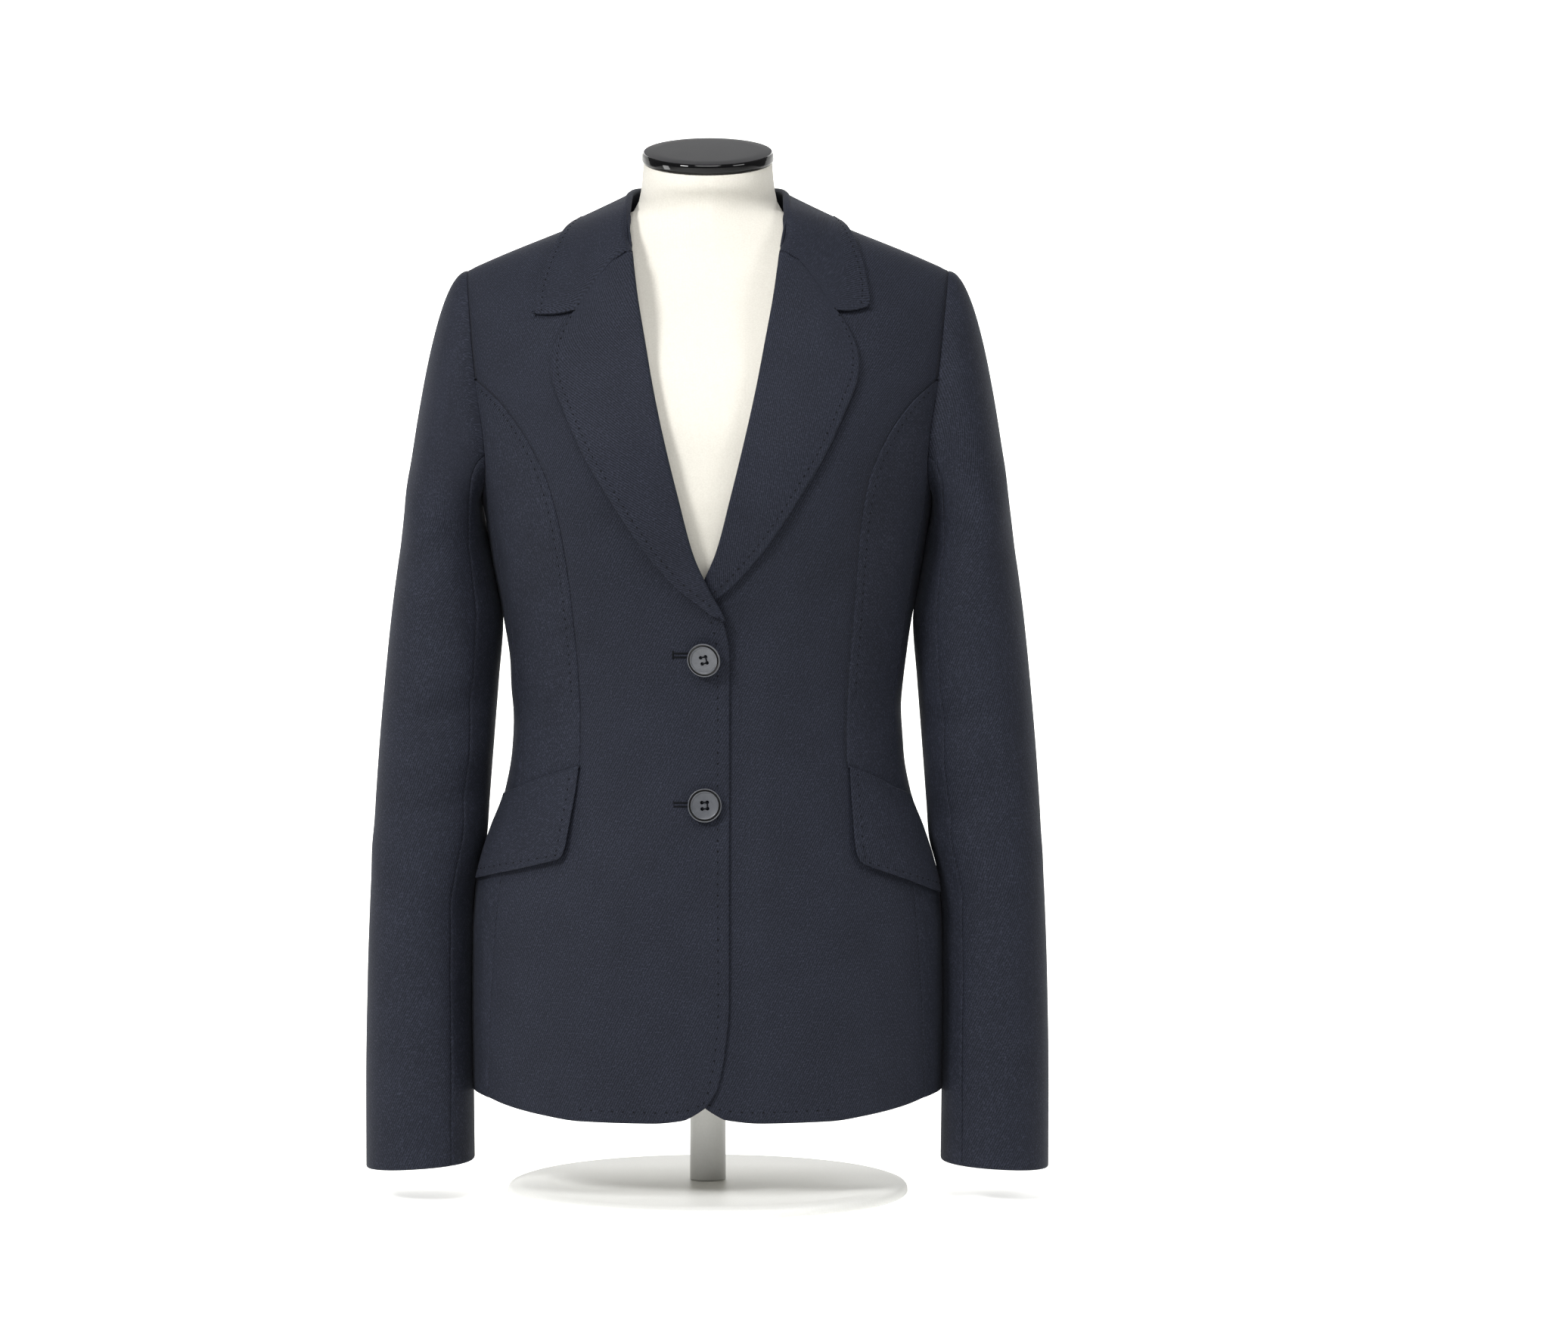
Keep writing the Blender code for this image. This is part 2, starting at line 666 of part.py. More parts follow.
def lapel_grid(sink, first=0.0):
    """Lapel: rolled out round the front's edge, then lying on the chest. Columns run outwards."""
    grid = []
    for j in range(LAPEL_ROWS + 1):
        share = lerp(first, 1.0, j / LAPEL_ROWS)
        radius = lerp(1.75, ROLL_RADIUS, soft(share / 0.15))
        point, normal, towards = roll_frame(share, sink)
        centre = point + normal * (radius - CLOTH) + towards * ROLL_GAP
        row = []
        for k in range(ROLL_STEPS):
            turn = math.radians(-90 + 180 * k / ROLL_STEPS)
            row.append(centre + normal * (radius * math.sin(turn)) + towards * (radius * math.cos(turn)))
        roll_x, roll_z = path_point(ROLL_LINE, share)
        edge_x, edge_z = path_point(LAPEL_EDGE, share)
        top = 2 * radius - CLOTH
        for k in range(LAPEL_STEPS + 1):
            u = k / LAPEL_STEPS
            x, z = lerp(roll_x, edge_x, u), lerp(roll_z, edge_z, u)
            if j == LAPEL_ROWS:
                x, z = path_point(GORGE, u)
            out = lerp(top, LAPEL_EDGE_OUT, soft(u * 1.15)) + 0.5 * math.sin(math.pi * u) ** 2
            if sink:
                out += under(x, z)
            row.append(skin_at(x, z, out))
        grid.append(row)
    return drawn_in(grid, "t", LEANING_GAP)


# Collar

def body_map():
    """Points and normals of the skin round the neck and shoulders, for laying the collar on it."""
    found = []
    for angle in range(0, 181, 3):
        for step in range(1, 46):
            z = ridge_z(x_of(angle, 655)) - 90 * (step / 45) ** 2
            found.append((skin_point(angle, z), skin_normal(angle, z)))
    tree = KDTree(len(found))
    for number, (point, _) in enumerate(found):
        tree.insert(point, number)
    tree.balance()
    return tree, found


def laid(point, out, near, only_out=True):
    """The point moved along the skin's normal to lie this far off it, or at least this far."""
    tree, found = near
    for _ in range(3):
        _, number, _ = tree.find(point)
        base, normal = found[number]
        depth = (point - base).dot(normal)
        if only_out and depth >= out:
            break
        point = point + normal * (out - depth)
    return point


FALL_STEPS = 6
STAND_STEPS = 2


def neck_seam_point(t):
    """Where the stand is sewn on, from the gorge over the shoulder to the centre back."""
    over = 0.38
    if t <= over:
        z = lerp(655.0, 688.6, t / over)
        return skin_at(front_edge_x(z), z)
    turn = (t - over) / (1 - over) * math.pi / 2
    x = NECK_HALF * math.cos(turn)
    return Vector((x, RIDGE_Y + NECK_BACK * math.sin(turn), neck_point(x, True)))


def collar_rib(t, near):
    """One section of the collar: stand, fold and fall."""
    roll_point, roll_normal, roll_towards = roll_frame(1.0, False)
    seam = neck_seam_point(t)
    radius = ROLL_RADIUS
    first_fold = roll_point + roll_normal * (radius - CLOTH) + roll_towards * (radius + ROLL_GAP)
    rows = (Rib(0.0, *first_fold, COLLAR_TIP.x, -72, COLLAR_TIP.z),) + COLLAR
    fold = Vector([along(rows, "t", name, t) for name in ("foldX", "foldY", "foldZ")])
    settled = soft(t / 0.32)
    outward = Vector((fold.x, fold.y - RIDGE_Y, 0)).normalized()
    outward = roll_normal.lerp(outward, settled).normalized()
    upward = (fold - seam).normalized() if t > 0 else roll_towards
    upward = roll_towards.lerp(upward, settled)
    upward = (upward - outward * upward.dot(outward)).normalized()
    centre = fold - upward * radius
    neck_way = Vector((-seam.x, RIDGE_Y - seam.y, 0)).normalized()
    tree, found = near
    normal = found[tree.find(seam)[1]][1]
    neck_way = (neck_way - normal * neck_way.dot(normal)).normalized()
    stand_start = seam + neck_way * (CLOTH + STAND_GAP) - normal * STAND_GAP
    start = (centre - outward * radius).lerp(stand_start, soft(t / 0.06))
    inner = centre - outward * radius
    rib = []
    for k in range(STAND_STEPS):
        rib.append(start.lerp(inner, k / STAND_STEPS))
    for k in range(ROLL_STEPS):
        turn = math.radians(180 - 180 * k / ROLL_STEPS)
        rib.append(centre + outward * (radius * math.cos(turn)) + upward * (radius * math.sin(turn)))
    edge = Vector([along(rows, "t", name, t) for name in ("edgeX", "edgeY", "edgeZ")])
    over_ridge = 0.9 * math.exp(-(((t - 0.4) / 0.12) ** 2))
    over_ridge += 0.9 * soft((t - 0.5) / 0.2)
    edge = laid(edge, LAPEL_EDGE_OUT + over_ridge, near, False)
    outer = centre + outward * radius
    for k in range(FALL_STEPS + 1):
        w = k / FALL_STEPS
        point = outer.lerp(edge, w)
        if t < 0.14:
            bend = GORGE + (COLLAR_TIP,)
            x, z = path_point(bend, w)
            on_gorge = skin_at(x, z, lerp(ROLL_OUT, LAPEL_EDGE_OUT, soft(w * 1.4)))
            point = on_gorge.lerp(point, soft(t / 0.14))
        least = lerp(ROLL_OUT, LAPEL_EDGE_OUT, soft(w * 1.3)) + over_ridge
        rib.append(laid(point, least, near))
    return rib


def collar_grid():
    near = body_map()
    ribs = [collar_rib(t, near) for t in RIB_STATIONS]
    other = [[Vector((-p.x, p.y, p.z)) for p in rib] for rib in reversed(ribs[:-1])]
    ribs = ribs + other
    grid = [[rib[k] for rib in reversed(ribs)] for k in range(len(ribs[0]))]
    return drawn_in(grid, "lr", LEANING_GAP)


# Sleeves

def armhole_loop(count):
    """Points round the armhole from the shoulder, down the front and up the back."""
    steps = 80
    line = []
    for k in range(steps + 1):
        z = lerp(SHOULDER_Z, 484.0, soft(k / steps))
        line.append(skin(armhole_front(z), z))
    for k in range(1, steps + 1):
        z = lerp(484.0, SHOULDER_Z, soft(k / steps))
        line.append(skin(armhole_back(z), z))
    lengths = [0.0]
    for a, b in zip(line, line[1:]):
        lengths.append(lengths[-1] + (b - a).length)
    points = []
    for k in range(count):
        want = lengths[-1] * k / count
        i = min(len(line) - 2, bisect.bisect_right(lengths, want) - 1)
        t = (want - lengths[i]) / max(1e-9, lengths[i + 1] - lengths[i])
        points.append(line[i].lerp(line[i + 1], t))
    return points


def sleeve_ring(row, count, tilt=0.0):
    """A section of the sleeve. Its first point is the outermost one, and the next go to the front."""
    middle_x = (row.inner + row.outer) / 2
    half_x = (row.outer - row.inner) / 2
    middle_y = (row.front + row.back) / 2
    half_y = (row.back - row.front) / 2
    ring = []
    for k in range(count):
        turn = 2 * math.pi * k / count
        c, s = math.cos(turn), math.sin(turn)
        x = middle_x + half_x * math.copysign(abs(c) ** (2 / SLEEVE_POWER), c)
        y = middle_y - half_y * math.copysign(abs(s) ** (2 / SLEEVE_POWER), s)
        ring.append(Vector((x, y, row.z - tilt * (x - middle_x))))
    return ring


def sleeve_rows():
    """Rings from the cuff up to the armhole."""
    rings = []
    for row in reversed(SLEEVE):
        tilt = 0.06 * clamp((90 - row.z) / 60)
        rings.append(sleeve_ring(row, SLEEVE_SIDES, tilt))
    top = rings[-1]
    hole = armhole_loop(SLEEVE_SIDES)
    for j in range(1, CAP_ROWS + 1):
        t = 1 - j / CAP_ROWS
        ring = []
        for k in range(SLEEVE_SIDES):
            share = k / SLEEVE_SIDES
            start = Vector([along(HEAD, "turn", name, share) for name in ("startX", "startY", "startZ")])
            end = Vector([along(HEAD, "turn", name, share) for name in ("endX", "endY", "endZ")])
            gap = ARMHOLE_GAP + BACK_HEAD_GAP * math.exp(-(((share - 0.93) / 0.06) ** 2))
            a = hole[k] + start.normalized() * gap
            b = a + start
            d = top[k]
            c = d + end
            ring.append(
                a * (1 - t) ** 3 + b * (3 * t * (1 - t) ** 2) + c * (3 * t * t * (1 - t)) + d * t**3
            )
        rings.append(ring)
    return rings


def sleeve_part(first, last):
    """Columns of the sleeve from one seam to the other, seen from outside left to right."""
    rings = sleeve_rows()
    grid = []
    for ring in rings:
        grid.append([ring[k % SLEEVE_SIDES] for k in range(last, first - 1, -1)])
    return drawn_in(grid, "lr", SLEEVE_GAP)


# Flap

FLAP_COLUMNS = 7
FLAP_ROWS = 5


def flap_grid():
    """Slanted flap with a rounded inner corner, standing off a little more towards its lower edge."""
    inner_edge = (Edge(237, 101.5), Edge(244, 97), Edge(258, 95), Edge(280, 93), Edge(301, 91.3))
    low_edge = (Edge(237, 101.5), Edge(231.5, 110), Edge(224, 128), Edge(214, 160))
    inner_angle = angle_of(FLAP_INNER_X, 301)
    grid = []
    for j in range(FLAP_ROWS + 1):
        v = j / FLAP_ROWS
        row = []
        for i in range(FLAP_COLUMNS + 1):
            u = i / FLAP_COLUMNS
            inner_x, inner_z = path_point(tuple(reversed(inner_edge)), 1 - v)
            start = angle_of(inner_x, inner_z)
            low_start = angle_of(low_edge[0].x, low_edge[0].z)
            low_angle = lerp(low_start, FLAP_OUTER_ANGLE, u)
            low = along(low_edge, "x", "z", x_of(low_angle, 225))
            top_angle = lerp(inner_angle, FLAP_OUTER_ANGLE, u)
            top = pocket_z(x_of(top_angle, 285)) if i else 301.0
            angle = lerp(start, FLAP_OUTER_ANGLE, u)
            z = lerp(low, top, (inner_z - 237) / (301 - 237))
            out = lerp(4.2, LAPEL_EDGE_OUT + 0.4, soft(v))
            row.append(skin(angle, z, out))
        grid.append(row)
    return grid


# Turned and drawn pieces

def turned(name, profile, collection, finish, steps, smooth_angle=40):
    """A solid turned round Z from (radius, height) points that run down its outer side."""
    mesh = bpy.data.meshes.new(name)
    made = bmesh.new()
    verts = [made.verts.new((r * MM, 0.0, z * MM)) for r, z in profile]
    for a, b in zip(verts, verts[1:]):
        made.edges.new((a, b))
    made.to_mesh(mesh)
    made.free()
    obj = add_object(name, mesh, collection, finish, smooth_angle)
    screw = obj.modifiers.new("Turned", "SCREW")
    screw.axis = "Z"
    screw.steps = steps
    screw.render_steps = steps
    screw.use_merge_vertices = True
    screw.merge_threshold = 0.00001
    return obj


def button(name, z, collection, cutters, finish):
    """Button with a raised rim, a dished middle and four holes, laid on the right front."""
    r = BUTTON_RADIUS
    profile = (
        (0.0, 2.3), (r * 0.45, 2.5), (r * 0.66, 3.1), (r * 0.78, 3.9), (r * 0.9, 4.1),
        (r * 0.98, 3.5), (r, 2.4), (r * 0.93, 0.9), (r * 0.7, 0.2), (0.0, 0.0),
    )
    obj = turned(name, profile, collection, finish, 24, 30)
    normal = skin_normal(0.0, z)
    place = skin(0.0, z, BUTTON_STAND)
    turn = normal.to_track_quat("Z", "Y")
    obj.matrix_world = turn.to_matrix().to_4x4()
    obj.location = place * MM
    holes = bmesh.new()
    for k in range(4):
        angle = math.radians(45 + 90 * k)
        made = bmesh.ops.create_cone(
            holes, cap_ends=True, segments=8, radius1=1.05 * MM, radius2=1.05 * MM, depth=12 * MM
        )
        shift = Vector((2.0 * math.cos(angle), 2.0 * math.sin(angle), 0)) * MM
        bmesh.ops.translate(holes, verts=made["verts"], vec=shift)
    mesh = bpy.data.meshes.new(name + "_holes")
    holes.to_mesh(mesh)
    holes.free()
    cutter = bpy.data.objects.new(name + "_holes", mesh)
    cutter.hide_render = True
    cutter.display_type = "WIRE"
    cutters.objects.link(cutter)
    cutter.matrix_world = turn.to_matrix().to_4x4()
    cutter.location = place * MM
    cut = obj.modifiers.new("Holes", "BOOLEAN")
    cut.operation = "DIFFERENCE"
    cut.object = cutter
    return obj


def form_rings():
    """Rings of the dress form from its flat underside to the slanted top of the neck."""
    rows = []
    low = (FORM_BOTTOM, 112, 150, 200, 245, 290, 341, 390, 440, 484, 520, 560)
    for z in low:
        shrink = 10.0 if z == FORM_BOTTOM else 0.0
        wide = min(along(BODY, "z", "wide", z), lerp(157.0, 160.0, clamp((z - 484) / 60)))
        rows.append(
            FormRow(
                z, wide - FORM_CLEAR - shrink, along(BODY, "z", "front", z) - FORM_CLEAR - 3 - shrink,
                along(BODY, "z", "back", z) - FORM_CLEAR - shrink, 2.3,
            )
        )
    rows += list(FORM_NECK)
    rings = []
    sides = 32
    for row in rows:
        lean = math.tan(CAP_TILT) * soft((row.z - 684) / (NECK_TOP - 684))
        ring = []
        for k in range(sides):
            turn = 2 * math.pi * k / sides
            s, c = math.sin(turn), math.cos(turn)
            x = row.wide * math.copysign(abs(s) ** (2 / row.power), s)
            depth = row.front if c > 0 else row.back
            y = -depth * math.copysign(abs(c) ** (2 / row.power), c)
            y += RIDGE_Y * soft((row.z - 560) / 60) * (1 - soft((row.z - 684) / 30))
            ring.append(Vector((x, y, row.z + lean * y)))
        rings.append(ring)
    return rings


def dress_form(collection, finish):
    rings = form_rings()
    made = bmesh.new()
    verts = [[made.verts.new(p * MM) for p in ring] for ring in rings]
    for low, high in zip(verts, verts[1:]):
        for k in range(len(low)):
            n = (k + 1) % len(low)
            made.faces.new((low[k], low[n], high[n], high[k]))
    made.faces.new(list(reversed(verts[0])))
    made.faces.new(verts[-1])
    mesh = bpy.data.meshes.new("dress_form")
    made.to_mesh(mesh)
    made.free()
    return add_object("dress_form", mesh, collection, finish, 50)


def neck_cap(collection, finish):
    r = CAP_RADIUS + 1.5
    profile = (
        (0.0, CAP_THICK), (r * 0.8, CAP_THICK - 0.3), (r - 2.2, CAP_THICK - 1.0), (r - 0.5, CAP_THICK - 2.8),
        (r, CAP_THICK - 4.5), (r, 1.5), (r - 1.0, 0.4), (r - 3.0, 0.0), (0.0, 0.0),
    )
    obj = turned("neck_cap", profile, collection, finish, 36)
    obj.rotation_euler = (CAP_TILT, 0.0, 0.0)
    up = Vector((0.0, -math.sin(CAP_TILT), math.cos(CAP_TILT)))
    obj.location = (Vector((0.0, 0.0, NECK_TOP)) + up * SEAM_GAP) * MM
    return obj


def pole(collection, finish):
    profile_top = FORM_BOTTOM - SEAM_GAP
    r = POLE_RADIUS
    profile = ((0.0, profile_top), (r, profile_top), (r, BASE_THICK + SEAM_GAP), (0.0, BASE_THICK + SEAM_GAP))
    return turned("pole", profile, collection, finish, 24)


def base(collection, finish):
    r = BASE_RADIUS
    profile = (
        (0.0, BASE_THICK), (r - 8, BASE_THICK), (r - 3, BASE_THICK - 1.0), (r - 0.6, BASE_THICK - 3.2),
        (r, 4.5), (r, 1.0), (r - 1.0, 0.0), (0.0, 0.0),
    )
    return turned("base", profile, collection, finish, 48)


def pair(name, grid_right, grid_left, collection, finish):
    """The wearer's left piece on +X, and the right one mirrored to -X."""
    sheet(name + "_left", grid_left, collection, finish)
    sheet(name + "_right", mirrored(grid_right), collection, finish)


def build():
    for obj in list(bpy.data.objects):
        bpy.data.objects.remove(obj, do_unlink=True)
    parts = bpy.data.collections.new("suit_jacket_on_dress_form")
    cutters = bpy.data.collections.new("cutters")
    for collection in (parts, cutters):
        bpy.context.scene.collection.children.link(collection)
    cutters.hide_render = True
    twill = material("wool_twill_navy", NAVY, 0.82)
    facing = material("wool_twill_facing", NAVY, 0.8)
    polyester = material("polyester_button", (0.03, 0.034, 0.045), 0.3, 0.0, 0.4)
    jersey = material("cotton_jersey_cream", CREAM, 0.9)
    lacquer = material("black_lacquer", (0.006, 0.006, 0.007), 0.12, 0.0, 0.6)
    steel = material("powder_coated_steel", (0.62, 0.62, 0.6), 0.45)

    pair("front", front_drawn_in(front_grid(False)), front_drawn_in(front_grid(True)), parts, twill)
    pair("side_front", side_front_grid(), side_front_grid(), parts, twill)
    pair("side_panel", side_grid(), side_grid(), parts, twill)
    pair("back", back_grid(), back_grid(), parts, twill)
    sheet("lapel_right", mirrored(lapel_grid(False)), parts, facing)
    sheet("lapel_left", lapel_grid(True, 0.03), parts, facing)
    sheet("collar", collar_grid(), parts, twill)
    top_first, top_last = BACK_SEAM_STEP - SLEEVE_SIDES, FRONT_SEAM_STEP
    pair("top_sleeve", sleeve_part(top_first, top_last), sleeve_part(top_first, top_last), parts, twill)
    under_part = (FRONT_SEAM_STEP, BACK_SEAM_STEP)
    pair("under_sleeve", sleeve_part(*under_part), sleeve_part(*under_part), parts, twill)
    pair("flap", flap_grid(), flap_grid(), parts, twill)
    button("button_upper", BUTTON_Z[0], parts, cutters, polyester)
    button("button_lower", BUTTON_Z[1], parts, cutters, polyester)
    dress_form(parts, jersey)
    neck_cap(parts, lacquer)
    pole(parts, steel)
    base(parts, steel)


build()
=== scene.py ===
# A tailored suit jacket, buttoned, on a limbless dress form with a round base.
# Lengths are in millimetres until a mesh is made. The front faces -Y and +X is the wearer's left.
import bisect
import math
from collections import namedtuple

import bmesh
import bpy
import numpy as np
from mathutils import Matrix, Vector
from mathutils.kdtree import KDTree


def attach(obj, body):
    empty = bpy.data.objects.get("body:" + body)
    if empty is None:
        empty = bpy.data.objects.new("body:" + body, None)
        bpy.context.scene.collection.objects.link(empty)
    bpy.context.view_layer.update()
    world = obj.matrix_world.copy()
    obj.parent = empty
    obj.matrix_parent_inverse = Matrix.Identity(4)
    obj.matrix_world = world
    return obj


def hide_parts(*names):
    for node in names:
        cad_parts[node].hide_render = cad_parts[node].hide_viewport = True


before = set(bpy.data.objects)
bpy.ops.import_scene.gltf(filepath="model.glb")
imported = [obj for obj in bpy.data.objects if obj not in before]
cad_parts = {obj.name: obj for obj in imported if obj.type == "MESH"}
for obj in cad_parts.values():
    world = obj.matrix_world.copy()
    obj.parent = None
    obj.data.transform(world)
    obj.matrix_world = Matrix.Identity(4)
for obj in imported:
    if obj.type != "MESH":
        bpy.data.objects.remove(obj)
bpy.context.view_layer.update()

mm = 0.001  # in metres
spot = namedtuple("spot", "z x")


def table(columns, *lines):
    row = namedtuple("row", columns)
    return [row(*line) for line in lines]


def spots(*lines):
    return [spot(*line) for line in lines]


# The jacket's shape

cloth = {
    "wall": 1.5,
    # Rows added beside an edge: how far in, their share of its dip, the most of the first face they take
    "edgeLoops": ((0.3, 0.45, 0.2), (1.1, 0.0, 0.6)),
    "seamDip": 0.75,  # how far the cloth turns in where two panels are sewn
    "edgeDip": 0.5,  # and how far a pressed edge rounds over
    "lapelDip": 0.9, "gorgeDip": 1.3, "flapTopDip": 2.0,
    "grainStep": 37.0,  # how far apart the panels lie in the bolt, so that none repeats another
}

body = {
    "frontPower": 2.3, "backPower": 2.4,  # roundness of the sections, 2 is an ellipse
    "junctionZ": 566.0,  # where the princess seam runs into the armhole
    "shoulderZ": 646.0, "shoulderX": 169.0,
    "neckHalf": 61.0, "neckBack": 56.6,
    "ridgeY": 6.0, "ridgeRound": 78.0,
    "bustX": 84.0, "bustZ": 500.0, "bustOut": 9.0, "bustSpreadX": 50.0, "bustSpreadZ": 68.0,
    "sideTopZ": 495.5, "pocketSideZ": 285.0,
    "armholeZ": 484.0,  # the armhole's lowest point
    "sideTop": (71.0, 112.5),  # angles of the side panel's upper corners
    "hemZ": 70.0,  # where the seams' angles at the hem are read
    "sections": table(
        "z wide front back",
        (40, 162.8, 107, 121), (75, 164, 108, 123), (130, 164.6, 109, 124.5), (180, 164.4, 108, 122),
        (200, 163.5, 107, 119.5), (214, 162.4, 106, 117), (235, 157.8, 104, 112), (256, 151.2, 101, 105),
        (280, 142.2, 98, 98),
        (310, 137, 96, 90), (341, 136, 96, 84), (372, 138, 99, 82), (401, 142.5, 104, 84),
        (430, 148.5, 111, 88), (455, 152.5, 117, 92), (484, 157.5, 121, 96), (506, 163, 121, 98.5),
        (530, 168, 117, 100), (560, 173, 107, 100.5), (590, 176.5, 94, 99), (615, 178.5, 84, 96.5),
        (640, 180, 76, 92), (670, 181, 71, 87), (710, 182, 68, 82),
    ),
    "ridge": table(
        "x z", (0, 704), (30, 700), (61, 689), (87, 679.5), (106, 672), (140, 658.5), (169, 646),
        (200, 632),
    ),
    "sideSeam": table(
        "z angle", (60, 65), (130, 62.5), (222, 59), (285, 64), (341, 71), (420, 73), (500, 71)
    ),
    "backSeam": table("z angle", (60, 106), (200, 108), (341, 114), (430, 115), (505, 113)),
    "armholeFront": table(
        "z angle", (484, 90), (487, 80), (495.5, 71), (512, 66.3), (535, 64.6), (566, 65),
        (599, 65.8), (625, 67), (646, 68.4),
    ),
    "armholeBack": table(
        "z angle", (484, 90), (488, 102), (501, 112.5), (522, 116.8), (550, 118), (585, 117),
        (615, 115), (646, 111.6),
    ),
}

front = {
    "columns": 34, "pocketColumns": 15, "lowRows": 58, "midRows": 66, "topRows": 36,
    "sideMidRows": 48,  # of the middle rows, those below the armhole
    "lowSeamX": 97.0,  # where the princess seam's line would meet the hem
    # How deep the left front passes under the right one, and how much deeper where their edges cross
    "underDepth": 2.4, "underExtra": 4.0, "crossingZ": 414.0,
    # Where each starts to fade out, and over how far: across, above the crossing and below it
    "underX": (20, 24), "underUp": (30, 70), "extraX": (26, 40), "extraUp": (12, 62), "extraDown": (26, 40),
    "edge": spots(
        (72, -1.6), (84, -8.5), (110, -13.8), (142, -16.5), (260, -16.5), (375, -16.5),
        (386, -15.2), (398.5, -12), (420, 0), (442, 10), (478, 19.6), (518, 29.5), (553, 37),
        (591, 43.8), (619, 48.6), (640, 51.3), (650, 52.4), (668, 55.5), (680, 58.5), (689, 61),
    ),
    "hem": spots(
        (72, -1.6), (66.8, 6), (62.5, 15), (60.5, 36), (61, 85), (64, 111), (67, 129), (69.4, 140),
        (72, 149.6), (73.2, 156),
    ),
    "princess": spots(
        (200, 91), (301, 91), (350, 91.7), (384, 93.7), (421, 97), (460, 101.5), (492, 108.5),
        (518, 120), (546, 139), (566, 160),
    ),
}

back = {
    "columns": 40, "topRows": 46, "armholeZ": 501.0,
    "lowRows": front["lowRows"] + front["sideMidRows"],
    "hem": table(
        "z angle", (72, 65), (73.2, 72), (73.9, 82), (73.3, 95), (71.5, 112), (69.5, 140), (69, 180)
    ),
}
back["shares"] = [1 - (1 - k / back["columns"]) ** 1.25 for k in range(back["columns"] + 1)]

lapel = {
    "breakZ": 398.5, "gorgeZ": 650.0, "breakRadius": 1.75, "rollRadius": 2.6, "rollOut": 3.7, "rollGap": 0.2,
    "edgeOut": (2.5, 4.1, 3.3),  # how far the edge stands off: at the break, the belly and the notch
    "rollSteps": 8, "steps": 30, "rows": 96,
    "leftStart": 0.03,  # share of the roll line below which the left lapel lies hidden
    "edge": spots(
        (400.5, -9.5), (403.5, -3), (410, 5), (423, 21), (446.5, 40.5), (478, 61.5), (510, 80.5),
        (540, 94), (557, 100.8), (569, 103), (580, 102.4), (590, 99.4), (599.5, 94.6), (609, 88.2),
    ),
    "gorge": spots(
        (650, 52.4), (648, 57.6), (643.2, 63.4), (635, 70), (623.5, 77.6), (609, 88.2)
    ),
}

collar = {
    "standGap": 0.2, "standSteps": 6, "edgeOut": 3.1, "tipRound": 4.4,
    "shoulderAt": 0.38, "shoulderZ": 688.6,  # where along it the seam crosses the shoulder, and how high
    "ridgeLift": 0.9,  # how much further off it lies over the shoulder and at the back
    "fallSteps": 20, "tipSteps": 14, "tipCrowding": 1.3, "tipReach": (14, 12),  # in ribs, in points
    "startWidth": 0.14,  # the share of its half length that is laid in along the gorge
    "tip": {"Left": spot(613, 111.5), "Right": spot(607.5, 117.5)},
    "sag": {"Left": spot(609.4, 100), "Right": spot(606.9, 102)},
    "tipMiddle": 114.5,
    "ribs": table(  # t runs from the gorge to the centre back
        "t foldX foldY foldZ edgeX edgeY edgeZ",
        (0.10, 53.4, -50, 663, 116.0, -70, 623), (0.20, 55.0, -37, 680, 110.5, -54, 640),
        (0.30, 55.6, -20, 691, 101.5, -31, 660), (0.40, 54.6, 0, 700, 92.0, -4, 676),
        (0.50, 51.6, 18, 705, 84.5, 21, 677), (0.60, 46.0, 33, 707.5, 73.5, 42, 673),
        (0.72, 36.0, 46, 709, 58.0, 62, 668), (0.86, 19.5, 56, 710, 30.0, 76, 664),
        (1.00, 0.0, 60, 710.5, 0.0, 80, 662.5),
    ),
    "stations": [0, 0.004, 0.008, 0.013, 0.02, 0.03] + [0.04 + 0.96 * k / 64 for k in range(65)],
}

sleeve = {
    "power": 2.25, "sides": 84, "frontSeam": 30, "backSeam": 54, "rings": 112, "headRows": 38,
    "armholeGap": -0.6, "topDip": 0.15, "hemLean": 0.06,
    "sections": table(
        "z inner outer front back",
        (452, 152.0, 214.5, -62, 66), (425, 147.0, 218.3, -61, 62), (401, 143.6, 221.2, -60, 58),
        (360, 146.4, 225.2, -58, 52), (315, 149.8, 229, -56, 47), (276, 152.6, 231.6, -54.5, 43.5),
        (250, 154.4, 233, -54, 41.5), (228, 159.8, 234.2, -53.5, 40), (205, 162.9, 235.3, -53.5, 38.5),
        (150, 163.9, 237, -53.5, 36.5), (85, 163.3, 237.8, -55.5, 34), (23, 162.5, 237.4, -57, 31.5),
    ),
    "head": table(  # curves from the armhole down to the upper section
        "turn startX startY startZ endX endY endZ",
        (0.00, 21, 0, 0, -11, 0, 95), (0.25, 21, -9, -8, -3, 2, 48), (0.50, 1.6, 0, -9, 1.5, 0, 10),
        (0.75, 21, 9, -8, -3, -2, 48), (1.00, 21, 0, 0, -11, 0, 95),
    ),
}

